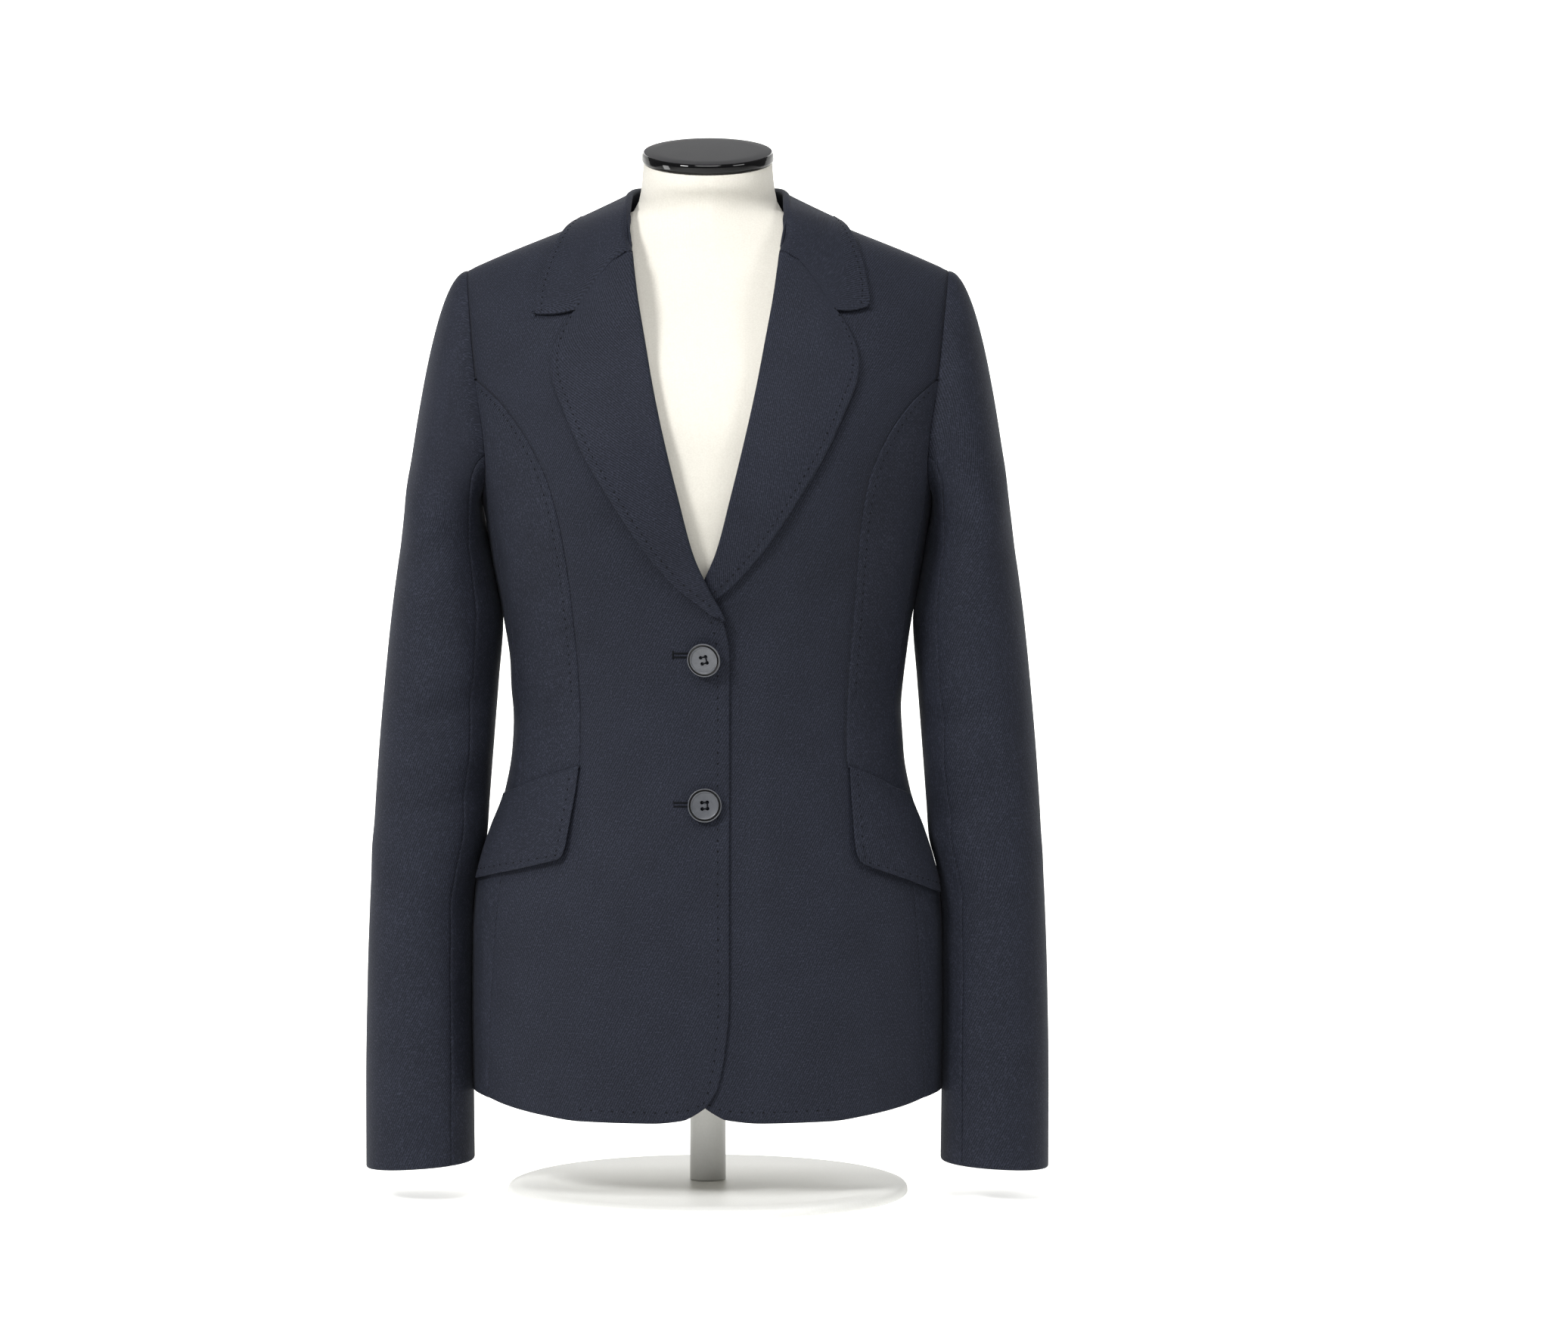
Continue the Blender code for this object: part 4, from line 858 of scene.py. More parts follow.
folds = {
    "bow": 0.06,  # how far a fold bows out, as a share of its length
    "flare": (0.75, 1.25),  # its width at both ends, as a share of the width named
    "fade": 0.25,  # how far beyond its ends, as a share of its length, it fades out
    "topZ": 600.0, "topFade": 60.0,  # none shows on the body above
    "body": {
        "scale": 2.6,  # millimetres to a degree
        "rows": table(
            "side a1 z1 a2 z2 width depth",
            (-1, 20, 365, 62, 318, 13, -1.0), (-1, 16, 398, 58, 420, 16, 0.8),
            (-1, 8, 262, 30, 120, 20, 1.3), (-1, 34, 235, 46, 95, 18, -1.3),
            (-1, 60, 350, 86, 322, 12, -1.3), (-1, 66, 372, 92, 352, 11, 0.9),
            (-1, 66, 455, 80, 410, 16, -1.4), (-1, 104, 350, 140, 330, 13, -1.5),
            (-1, 98, 372, 134, 362, 11, 1.0), (-1, 112, 300, 150, 312, 12, -0.9),
            (-1, 122, 470, 146, 400, 20, -1.6), (-1, 150, 245, 160, 100, 24, -1.5),
            (-1, 128, 230, 136, 92, 20, 1.2), (-1, 126, 560, 150, 505, 22, -1.4),
            (1, 22, 340, 64, 330, 14, -1.0), (1, 10, 405, 52, 392, 15, 0.7),
            (1, 14, 250, 34, 105, 22, 1.2), (1, 40, 250, 52, 110, 17, -1.2),
            (1, 62, 362, 90, 336, 12, -1.2), (1, 64, 390, 88, 378, 11, 0.8),
            (1, 64, 462, 82, 420, 15, -1.5), (1, 102, 338, 138, 346, 13, -1.4),
            (1, 100, 364, 130, 374, 12, 1.0), (1, 116, 292, 152, 300, 13, -1.0),
            (1, 124, 480, 142, 415, 19, -1.5), (1, 148, 238, 158, 112, 22, -1.4),
            (1, 126, 225, 134, 100, 21, 1.3), (1, 128, 565, 148, 500, 20, -1.3),
            (1, 172, 360, 168, 300, 14, -0.9), (-1, 170, 330, 174, 410, 15, 0.8),
        ),
    },
    "sleeve": {
        "scale": 0.72,
        "rows": table(  # 0 faces out, 90 the front, 180 the body, 270 the back
            "side a1 z1 a2 z2 width depth",
            (-1, 60, 330, 150, 352, 9, -2.2), (-1, 70, 302, 168, 318, 10, 1.3),
            (-1, 66, 268, 160, 290, 9, -1.8), (-1, 240, 322, 330, 300, 12, 1.2),
            (-1, 228, 352, 310, 330, 11, -1.6), (-1, 40, 430, 120, 470, 12, -1.8),
            (-1, 20, 500, 96, 452, 14, 1.2), (-1, 120, 452, 150, 360, 12, -1.6),
            (-1, 300, 470, 250, 430, 14, -1.7), (-1, 100, 215, 148, 200, 10, -1.3),
            (-1, 10, 250, 60, 226, 15, 0.9), (-1, 330, 210, 350, 90, 15, -1.0),
            (-1, 120, 150, 150, 60, 12, 1.0), (-1, 300, 560, 330, 480, 15, -1.0),
            (1, 174, 494, 170, 448, 14, 1.5),
            (1, 64, 342, 158, 330, 9, -2.0), (1, 60, 312, 150, 300, 10, 1.2),
            (1, 72, 280, 166, 262, 10, -1.9), (1, 236, 312, 322, 322, 12, 1.1),
            (1, 232, 345, 318, 352, 11, -1.5), (1, 44, 442, 128, 462, 12, -1.8),
            (1, 24, 510, 90, 462, 14, 1.1), (1, 116, 440, 146, 372, 12, -1.5),
            (1, 296, 478, 246, 440, 14, -1.6), (1, 96, 208, 146, 213, 10, -1.2),
            (1, 14, 240, 64, 236, 15, 0.9), (1, 334, 198, 346, 96, 15, -1.0),
            (1, 124, 140, 146, 66, 12, 0.9), (1, 304, 552, 326, 470, 15, -1.0),
        ),
    },
}

heights = np.arange(20.0, 720.0, 2.0)
wides, fronts, backs = (
    np.array([section(name, z) for z in heights])
    for name in ("wide", "front", "back")
)
sleeveTable = {
    name: np.array([along(sleeve["sections"], "z", name, z) for z in heights])
    for name in ("inner", "outer", "front", "back")
}


# Angle of each point round the body, 0 at the centre front.
def bodyTurn(points):
    x, y, z = points.T
    across = np.abs(x) / np.interp(z, heights, wides)
    n = np.where(y > 0, body["backPower"], body["frontPower"])
    deep = np.abs(y) / np.where(y > 0, np.interp(z, heights, backs), np.interp(z, heights, fronts))
    turn = np.degrees(np.arctan2(across ** (n / 2), deep ** (n / 2)))
    return np.where(y > 0, 180 - turn, turn)


# Angle of each point round its sleeve, 0 outwards and 90 at the front.
def sleeveTurn(points):
    x, y, z = points.T
    at = {name: np.interp(z, heights, values) for name, values in sleeveTable.items()}
    right = (np.abs(x) - (at["inner"] + at["outer"]) / 2) / (at["outer"] - at["inner"])
    ahead = ((at["front"] + at["back"]) / 2 - y) / (at["back"] - at["front"])
    return np.degrees(np.arctan2(ahead, right)) % 360


# How far the folds move each point out of the plain surface.
def foldDepth(points, part):
    plan, fade = folds[part], folds["fade"]
    turn = bodyTurn(points) if part == "body" else sleeveTurn(points)
    side = np.sign(points[:, 0])
    total = np.zeros(len(points))
    for fold in plan["rows"]:
        start = np.array((fold.a1 * plan["scale"], fold.z1))
        line = np.array((fold.a2 * plan["scale"], fold.z2)) - start
        length = np.hypot(*line)
        line = line / length
        away = np.stack((turn * plan["scale"], points[:, 2]), axis=1) - start
        run = away @ line / length
        across = away[:, 0] * line[1] - away[:, 1] * line[0]
        across = across - folds["bow"] * length * np.sin(np.pi * np.clip(run, 0, 1))
        width = fold.width * lerp(*folds["flare"], np.clip(run, 0, 1))
        ends = np.clip((run + fade) / (2 * fade), 0, 1) * np.clip((1 + fade - run) / (2 * fade), 0, 1)
        ends = ends * ends * (3 - 2 * ends)
        total += np.where(side == fold.side, fold.depth * ends * np.exp(-(across / width) ** 2), 0)
    if part == "body":
        total *= np.clip((folds["topZ"] - points[:, 2]) / folds["topFade"], 0, 1)
    return total


# Cloth

corners = [(rows, columns) for rows in (slice(0, -1), slice(1, None))
           for columns in (slice(0, -1), slice(1, None))]  # of every face of a grid at once


def gridNormals(points):
    lowLeft, lowRight, highLeft, highRight = (points[corner] for corner in corners)
    face = np.nan_to_num(np.cross(lowRight - highLeft, highRight - lowLeft))
    total = np.zeros_like(points)
    for corner in corners:
        total[corner] += face
    return total / np.maximum(np.linalg.norm(total, axis=2, keepdims=True), 1e-9)


# Adds rows of points close to each edge, so that the edge can turn in sharply.
def withLoops(points, sides):
    for side in sides:
        flip = side in "rt"
        work = points if side in "bt" else points.swapaxes(0, 1)
        work = work[::-1] if flip else work
        step = work[1] - work[0]
        size = np.linalg.norm(step, axis=1, keepdims=True)
        extras = [
            work[0] + step * np.minimum(reach / np.maximum(size, 1e-6), most)
            for reach, _, most in cloth["edgeLoops"]
        ]
        work = np.concatenate((work[:1], np.stack(extras), work[1:]))
        work = work[::-1] if flip else work
        points = work if side in "bt" else work.swapaxes(0, 1)
    return points


# Where each point lies on the uncut cloth. In an upright panel the threads stay plumb and level.
def threadPlaces(points, across, upward, first, upright):
    grain = np.zeros(points.shape)
    grain[:, 1:, 0] = np.cumsum(across, axis=1)
    grain[1:, :, 1] = np.cumsum(upward, axis=0)
    if upright:
        grain[..., 0] += (np.nan_to_num(points[:, first, 0]) - grain[:, first, 0])[:, None]
        grain[..., 1] += np.nan_to_num(points[:1, :, 2])
    grain[..., 2] = cloth["grainStep"] * len(sheets)
    return grain


# Moves the edges of a panel inwards, each by its dip, and the rows beside them less.
def turnIn(points, normals, valid, dips):
    lines, columns = np.arange(valid.shape[0]), np.arange(valid.shape[1])
    borders = {
        "l": (lines, valid.argmax(axis=1), 0, 1), "b": (valid.argmax(axis=0), columns, 1, 0),
        "r": (lines, valid.shape[1] - 1 - valid[:, ::-1].argmax(axis=1), 0, -1),
        "t": (valid.shape[0] - 1 - valid[::-1].argmax(axis=0), columns, -1, 0),
    }
    for side, dip in dips.items():
        line, column, down, inward = borders[side]
        for step, share in enumerate((1.0, cloth["edgeLoops"][0][1])):
            place = (line + down * step, column + inward * step)
            points[place] -= normals[place] * dip * share


sheets = {}  # the points and normals of each panel, for the stitches


# One panel of cloth. dips says how far each side turns in: l, r, b and t.
def clothPiece(name, grid, finish, dips, part="body", mirror=False):
    points = np.array([[tuple(p) if p else (np.nan,) * 3 for p in row] for row in grid])
    if mirror:
        points = points[:, ::-1] * np.array((-1, 1, 1))
        dips = {{"l": "r", "r": "l"}.get(side, side): dip for side, dip in dips.items()}
    points = withLoops(points, dips)
    normals = gridNormals(points)
    valid = ~np.isnan(points[..., 0])
    depth = np.zeros(points.shape[:2])
    depth[valid] = foldDepth(points[valid], part)
    points = points + normals * depth[..., None]
    across = np.nan_to_num(np.linalg.norm(np.diff(points, axis=1), axis=2))
    upward = np.nan_to_num(np.linalg.norm(np.diff(points, axis=0), axis=2))
    flatArea = float((across[:-1] * upward[:, :-1]).sum()) * mm * mm
    upright = name.startswith(("front", "side", "back"))
    grain = threadPlaces(points, across, upward, -1 if mirror else 0, upright)
    normals = gridNormals(points)
    sheets[name] = (points.copy(), normals)
    turnIn(points, normals, valid, dips)
    number = np.full(points.shape[:2], -1)
    quads = np.all([valid[corner] for corner in corners], axis=0)
    used = np.zeros(valid.shape, bool)
    for corner in corners:
        used[corner] |= quads
    number[used] = np.arange(used.sum())
    faces = np.stack([number[corners[k]] for k in (0, 1, 3, 2)], axis=-1)
    mesh = bpy.data.meshes.new(name)
    mesh.from_pydata((points[used] * mm).tolist(), [], faces[quads].tolist())
    mesh.shade_smooth()
    threads = mesh.attributes.new("grain", "FLOAT_VECTOR", "POINT")
    threads.data.foreach_set("vector", grain[used].ravel())
    mesh.materials.append(finish)
    piece = addObject(name, mesh)
    solid = piece.modifiers.new("wall", "SOLIDIFY")
    solid.thickness = cloth["wall"] * mm
    solid.offset = -1
    extent = (across.sum(axis=1).max() * mm, upward.sum(axis=0).max() * mm)
    print(f"{name}: {extent[0]:.3f} x {extent[1]:.3f} m, {flatArea:.4f} m2, {quads.sum()} quads")
    return piece


# Finishes

# Adds one node: its plain settings, then its sockets, given as a value or as (node, output).
def addNode(tree, kind, settings=None, **sockets):
    node = tree.nodes.new(kind)
    for name, value in (settings or {}).items():
        setattr(node, name, value)
    for name, value in sockets.items():
        key = int(name[1:]) if name[0] == "n" and name[1:].isdigit() else name.replace("_", " ")
        if isinstance(value, tuple) and isinstance(value[0], bpy.types.Node):
            tree.links.new(value[0].outputs[value[1]], node.inputs[key])
        else:
            node.inputs[key].default_value = value
    return node


def newFinish(name, **values):
    finish = bpy.data.materials.new(name)
    finish.use_nodes = True
    shader = finish.node_tree.nodes["Principled BSDF"]
    for key, value in values.items():
        shader.inputs[key.replace("_", " ")].default_value = value
    return finish, finish.node_tree, shader


# Linear colour of an sRGB hex code.
def colour(code):
    channels = [int(code[i:i + 2], 16) / 255 for i in (1, 3, 5)]
    return (*(c / 12.92 if c <= 0.04045 else ((c + 0.055) / 1.055) ** 2.4 for c in channels), 1.0)


# One colour turned into another by a factor.
def mixed(tree, factor, first, second):
    return addNode(tree, "ShaderNodeMix", {"data_type": "RGBA"}, n0=factor, n6=first, n7=second), 2


# Colours the surface from dark to light by a factor.
def paint(tree, shader, factor, dark, light):
    mix, output = mixed(tree, factor, colour(dark), colour(light))
    tree.links.new(mix.outputs[output], shader.inputs["Base Color"])


# Raises the surface by a height.
def emboss(tree, shader, height, strength, distance):
    relief = addNode(tree, "ShaderNodeBump", Strength=strength, Distance=distance, Height=height)
    tree.links.new(relief.outputs["Normal"], shader.inputs["Normal"])


def objectPlace(tree):
    return addNode(tree, "ShaderNodeTexCoord"), "Object"


def noise(tree, place, scale, **more):
    return addNode(tree, "ShaderNodeTexNoise", Vector=place, Scale=scale, **more)


def added(tree, first, second):
    return addNode(tree, "ShaderNodeMath", {"operation": "ADD"}, n0=first, n1=second), "Value"


wool = {
    "dark": "#12141b", "light": "#22252f", "fleck": "#393c4a",
    "rib": 1.5,  # twill rib spacing in mm, near 0.5 on the cloth, drawn coarser so that it shows
    "lean": 63.0,  # degrees of the twill line from the weft
    "relief": 0.00012,
}


# Worsted wool twill, woven, clipped and pressed: fine steep ribs, matt, with a faint cool bloom.
def worstedTwill(name, lean, tint=0.0):
    finish, tree, shader = newFinish(
        name, Roughness=0.78, IOR=1.45, Sheen_Weight=0.06, Sheen_Roughness=0.4,
        Sheen_Tint=colour("#9a9eaa"), Specular_IOR_Level=0.16,
    )
    grain = addNode(tree, "ShaderNodeAttribute", {"attribute_name": "grain"}), "Vector"
    slant = addNode(tree, "ShaderNodeMapping", Vector=grain, Rotation=(0, 0, math.radians(90 - lean)))
    ribs = addNode(
        tree, "ShaderNodeTexWave", {"bands_direction": "X"}, Vector=(slant, "Vector"),
        Scale=math.pi / 10 / wool["rib"], Distortion=0.8, Detail=2.0, Detail_Scale=2.0,
    )
    yarns = noise(tree, grain, 0.75, Detail=3.0, Roughness=0.7)
    drift = noise(tree, grain, 0.03, Detail=2.0)
    base = mixed(tree, (ribs, "Fac"), colour(wool["dark"]), colour(wool["light"]))
    fleck = addNode(
        tree, "ShaderNodeMapRange", Value=(yarns, "Fac"), From_Min=0.5, From_Max=0.76, To_Max=0.7
    )
    melange = mixed(tree, (fleck, "Result"), base, colour(wool["fleck"]))
    shade = addNode(
        tree, "ShaderNodeMapRange", Value=(drift, "Fac"), From_Min=0.3, From_Max=0.7,
        To_Min=0.92 + tint, To_Max=1.06 + tint,
    )
    toned = addNode(tree, "ShaderNodeHueSaturation", Color=melange, Value=(shade, "Result"))
    tree.links.new(toned.outputs["Color"], shader.inputs["Base Color"])
    emboss(tree, shader, added(tree, (ribs, "Fac"), (yarns, "Fac")), 0.5, wool["relief"])
    return finish


# Twisted silk-like sewing thread with a slight gloss, painted near-black and darker than the cloth: partly
# the thread's own colour, partly painted shade of the dimple each stitch sinks into.
def threadWithDimpleShade():
    finish, tree, shader = newFinish("threadWithDimpleShade", Roughness=0.8, Specular_IOR_Level=0.1)
    ply = addNode(tree, "ShaderNodeTexWave", Vector=objectPlace(tree), Scale=900.0, Distortion=1.0)
    # near-black: the thread's colour and painted dimple shade together
    paint(tree, shader, (ply, "Fac"), "#060708", "#14161b")
    return finish


# Cast polyester, tumbled to a satin: a dark blue-grey with cloudy depth and a soft highlight.
def castPolyester(name, dark, light):
    finish, tree, shader = newFinish(
        name, Roughness=0.4, IOR=1.56, Metallic=0.2, Coat_Weight=0.25, Coat_Roughness=0.16
    )
    place = objectPlace(tree)
    paint(tree, shader, (noise(tree, place, 160.0, Detail=3.0, Distortion=1.2), "Fac"), dark, light)
    emboss(tree, shader, (noise(tree, place, 2600.0), "Fac"), 0.15, 0.00002)
    return finish


# Knitted cotton jersey, stretched over the form: upright wales, matt and cream.
def cottonJersey():
    finish, tree, shader = newFinish(
        "cottonJersey", Roughness=0.86, Sheen_Weight=0.2, Sheen_Roughness=0.5,
        Specular_IOR_Level=0.25,
    )
    place = objectPlace(tree)
    wales = addNode(
        tree, "ShaderNodeTexWave", {"bands_direction": "X"}, Vector=place,
        Scale=math.pi / 10 / 0.0011, Distortion=0.5, Detail=1.0,  # a wale every 1.1 mm
    )
    loops = noise(tree, place, 900.0, Detail=2.0)
    paint(tree, shader, (loops, "Fac"), "#c4c0b6", "#d8d5cc")
    emboss(tree, shader, added(tree, (wales, "Fac"), (loops, "Fac")), 0.35, 0.00012)
    return finish


# Black lacquer, sprayed on turned wood: the side polished to sharp reflections, the top left satin, its
# lighter grey a painted sheen of the light from above.
def blackLacquer(name, dark, light, roughness, level):
    finish, tree, shader = newFinish(name, Roughness=roughness, IOR=1.5, Specular_IOR_Level=level)
    paint(tree, shader, (noise(tree, objectPlace(tree), 60.0, Detail=4.0), "Fac"), dark, light)
    return finish


# Powder coat, baked on steel: pale, satin, with a fine orange peel.
def powderCoat():
    finish, tree, shader = newFinish("powderCoat", Roughness=0.42, IOR=1.5)
    peel = noise(tree, objectPlace(tree), 700.0, Detail=1.0), "Fac"
    paint(tree, shader, peel, "#d6d6d2", "#dededb")
    emboss(tree, shader, peel, 0.2, 0.00004)
    return finish


twill = worstedTwill("worstedTwill", wool["lean"])
facingTwill = worstedTwill("facingTwill", -wool["lean"], 0.03)
dimpleShadedThread = threadWithDimpleShade()
polyester = castPolyester("castPolyester", "#3d3f44", "#5a5c61")
grooveShade = castPolyester("paintedGrooveShade", "#030304", "#08080a")  # the turned groove, painted black for the shade that falls in it
jersey = cottonJersey()
lacquer = blackLacquer("polishedLacquer", "#040405", "#09090a", 0.06, 0.35)
# the same black lacquer on the top, painted a lighter grey: painted sheen of the lights above
satinTopSheen = blackLacquer("satinLacquerTopSheen", "#222224", "#29292b", 0.62, 0.08)
coat = powderCoat()


# Attaches a piece to the root it moves with and hides the CAD nodes that it stands for. slotName, what it is
# made of, is not used.
def settle(piece, slotName, *nodes):
    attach(piece, "root")
    if nodes:
        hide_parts(*nodes)


# The jacket's panels: the box that each is cut from, (width, length), and the area that shows, in metres

seam, edge = cloth["seamDip"], cloth["edgeDip"]


def panel(kind, side, node, grid, finish, dips, held, restsOn, slotName="suiting", **more):
    name = kind + side
    piece = clothPiece(name, grid, finish, dips, mirror=side == "Right", **more)
    settle(piece, slotName, node)


for side in ("Left", "Right"):
    low = side.lower()
    panel("front", side, "front_" + low, frontGrid(side), twill,
          {"l": edge, "r": seam, "b": edge, "t": seam}, "hung", ["dressForm"])
    panel("sideFront", side, "side_front_" + low, sideFrontGrid(side), twill,
          {"l": seam, "r": seam, "b": 0.0, "t": seam}, "hung", ["dressForm"])
    panel("sidePanel", side, "side_panel_" + low, sideGrid(), twill,
          {"l": seam, "r": seam, "b": edge, "t": seam}, "hung", ["dressForm"])
    panel("back", side, "back_" + low, backGrid(), twill,
          {"l": seam, "r": seam, "b": edge, "t": seam}, "hung", ["dressForm"])
    panel("lapel", side, "lapel_" + low, lapelGrid(side == "Left"),
          facingTwill, {"r": cloth["lapelDip"], "t": cloth["gorgeDip"]}, "folded", ["front" + side],
          "lapel_facing")
    panel("topSleeve", side, "top_sleeve_" + low,
          sleevePart(sleeve["backSeam"] - sleeve["sides"], sleeve["frontSeam"]), twill,
          {"l": seam, "r": seam, "b": edge, "t": sleeve["topDip"]}, "hung", ["front" + side], part="sleeve")
    panel("underSleeve", side, "under_sleeve_" + low,
          sleevePart(sleeve["frontSeam"], sleeve["backSeam"]), twill,
          {"l": seam, "r": seam, "b": edge, "t": sleeve["topDip"]}, "hung", ["front" + side], part="sleeve")
    panel("flap", side, "flap_" + low, flapGrid(side), twill,
          {"l": edge, "r": edge, "b": edge, "t": cloth["flapTopDip"]}, "hung", ["front" + side])

collarDips = {"l": cloth["gorgeDip"], "r": cloth["gorgeDip"], "t": cloth["lapelDip"]}
piece = clothPiece("jacketCollar", collarGrid(), twill, collarDips)
settle(piece, "suiting", "collar")
print("panels made")


# Dress form

form = {
    "clear": 6.0, "chestClear": 3.0,  # from the jacket all round, and more in front
    "lowRound": 10.0, "power": 2.3, "shoulderZ": 684.0,
    "bottom": 100.0, "neckTop": 722.0, "sides": 96, "step": 7.0,
    "armholeWide": (157.0, 160.0),  # at the armhole's lowest point, and 60 mm higher
    "capTilt": math.radians(20.0), "capRadius": 46.5, "capThick": 8.0, "seamDepth": 0.5,
    "low": (100, 112, 150, 200, 245, 290, 341, 390, 440, 484, 520, 560),
    "neck": (
        (600, 157, 74, 86, 2.2), (622, 155, 64, 80, 2.0), (640, 147, 56, 76, 1.75),
        (655, 134, 50, 68, 1.55), (668, 107, 47, 60, 1.5), (679, 76, 45, 49, 1.5),
        (688, 51.5, 44, 41, 1.8), (698, 47.5, 43.5, 44.5, 2.0), (709, 46, 43.5, 44.5, 2.0),
        (722, 45, 44, 44, 2.0),
    ),
}


def formTable():
    lines = []
    for z in form["low"]:
        shrink = form["clear"] + (form["lowRound"] if z == form["bottom"] else 0.0)
        armhole = lerp(*form["armholeWide"], clamp((z - body["armholeZ"]) / 60))
        wide = min(section("wide", z), armhole)
        deep = section("front", z) - form["chestClear"]
        lines.append((z, wide - shrink, deep - shrink, section("back", z) - shrink, form["power"]))
    return table("z wide front back power", *lines, *form["neck"])


def formGrid():
    rows = formTable()
    count = round((form["neckTop"] - form["bottom"]) / form["step"])
    rings = []
    for j in range(count + 1):
        z = lerp(form["bottom"], form["neckTop"], j / count)
        wide, front, back, n = (along(rows, "z", k, z) for k in ("wide", "front", "back", "power"))
        neck = (z - form["shoulderZ"]) / (form["neckTop"] - form["shoulderZ"])
        slope = math.tan(form["capTilt"]) * soft(neck)
        ring = []
        for k in range(form["sides"]):
            turn = 2 * math.pi * k / form["sides"]
            s, c = math.sin(turn), math.cos(turn)
            x = wide * math.copysign(abs(s) ** (2 / n), s)
            y = -(front if c > 0 else back) * math.copysign(abs(c) ** (2 / n), c)
            y += body["ridgeY"] * soft((z - 560) / 60) * (1 - soft((z - form["shoulderZ"]) / 30))
            if k in (0, form["sides"] // 2):
                y -= math.copysign(form["seamDepth"], y)
            ring.append(Vector((x, y, z + slope * y)))
        rings.append(ring)
    return rings


def meshPiece(name, verts, faces, finish, smooth=40):
    mesh = bpy.data.meshes.new(name)
    mesh.from_pydata([tuple(v * mm for v in p) for p in verts], [], faces)
    mesh.shade_smooth()
    mesh.set_sharp_from_angle(angle=math.radians(smooth))
    mesh.materials.append(finish)
    return addObject(name, mesh)


# Adds rings of points, joined to a closed tube with flat ends.
def addTube(verts, faces, rings):
    start, sides = len(verts), len(rings[0])
    for ring in rings:
        verts += ring
    for low in range(start, len(verts) - sides, sides):
        for k in range(sides):
            m = (k + 1) % sides
            faces.append((low + k, low + m, low + sides + m, low + sides + k))
    faces.append(tuple(range(start, start + sides))[::-1])
    faces.append(tuple(range(len(verts) - sides, len(verts))))


# Points round a centre, in the plane of two directions.
def circle(centre, a, b, radius, sides):
    turns = [2 * math.pi * k / sides for k in range(sides)]
    return [centre + a * (radius * math.cos(turn)) + b * (radius * math.sin(turn)) for turn in turns]


def makeForm():
    verts, faces = [], []
    addTube(verts, faces, formGrid())
    settle(meshPiece("dressForm", verts, faces, jersey, 50), "form_jersey", "dress_form")


# A solid turned round Z from (radius, height) points that run down its outer side.
def turned(name, profile, finish, steps=96, smooth=35):
    verts, faces = [], []
    for r, z in profile:
        if r == 0:
            verts.append((0, 0, z))
        else:
            verts += [(r * math.cos(a), r * math.sin(a), z)
                      for a in (2 * math.pi * k / steps for k in range(steps))]
    starts, at = [], 0
    for r, z in profile:
        starts.append(at)
        at += 1 if r == 0 else steps
    for j in range(len(profile) - 1):
        a, b = starts[j], starts[j + 1]
        for k in range(steps):
            m = (k + 1) % steps
            if profile[j][0] == 0:
                faces.append((a, b + k, b + m))
            elif profile[j + 1][0] == 0:
                faces.append((a + k, b, a + m))
            else:
                faces.append((a + k, b + k, b + m, a + m))
    return meshPiece(name, verts, faces, finish, smooth)


def rounded(profile, radius=1.0, steps=5):  # rounds the inner corners of a profile
    out = [profile[0]]
    for before, at, after in zip(profile, profile[1:], profile[2:]):
        a, b, c = Vector(before), Vector(at), Vector(after)
        reach = min(radius, (a - b).length * 0.45, (c - b).length * 0.45)
        p, q = b + (a - b).normalized() * reach, b + (c - b).normalized() * reach
        out += [tuple(p * (1 - t) ** 2 + b * (2 * t * (1 - t)) + q * t * t)
                for t in (k / steps for k in range(steps + 1))]
    return out + [profile[-1]]


def makeStand():
    r, thick = form["capRadius"], form["capThick"]
    cap = turned("neckCap", rounded(
        [(0, thick), (r * 0.8, thick - 0.3), (r - 0.3, thick - 1.2), (r, 0), (0, 0)], 2.2), lacquer)
    up = Vector((0, -math.sin(form["capTilt"]), math.cos(form["capTilt"])))
    place = (Vector((0, 0, form["neckTop"])) + up * 0.36) * mm
    cap.data.materials.append(satinTopSheen)
    # the faces that look up take the lighter grey, a painted sheen
    for face in cap.data.polygons:
        face.material_index = int(face.normal.z > 0.9)
    cap.data.transform(Matrix.Translation(place) @ Matrix.Rotation(form["capTilt"], 4, "X"))
    settle(cap, "cap_lacquer", "neck_cap")
    pole = turned("formPole", [(0, 99.6), (12.5, 99.6), (12.5, 9.4), (0, 9.4)], coat, 64)
    settle(pole, "stand_steel", "pole")
    base = turned("formBase", rounded([(0, 9), (132, 9), (139.4, 6.4), (140, 0), (0, 0)], 4.0), coat, 128)
    settle(base, "stand_steel", "base")


makeForm()
makeStand()
print("form and stand made")


# Buttons

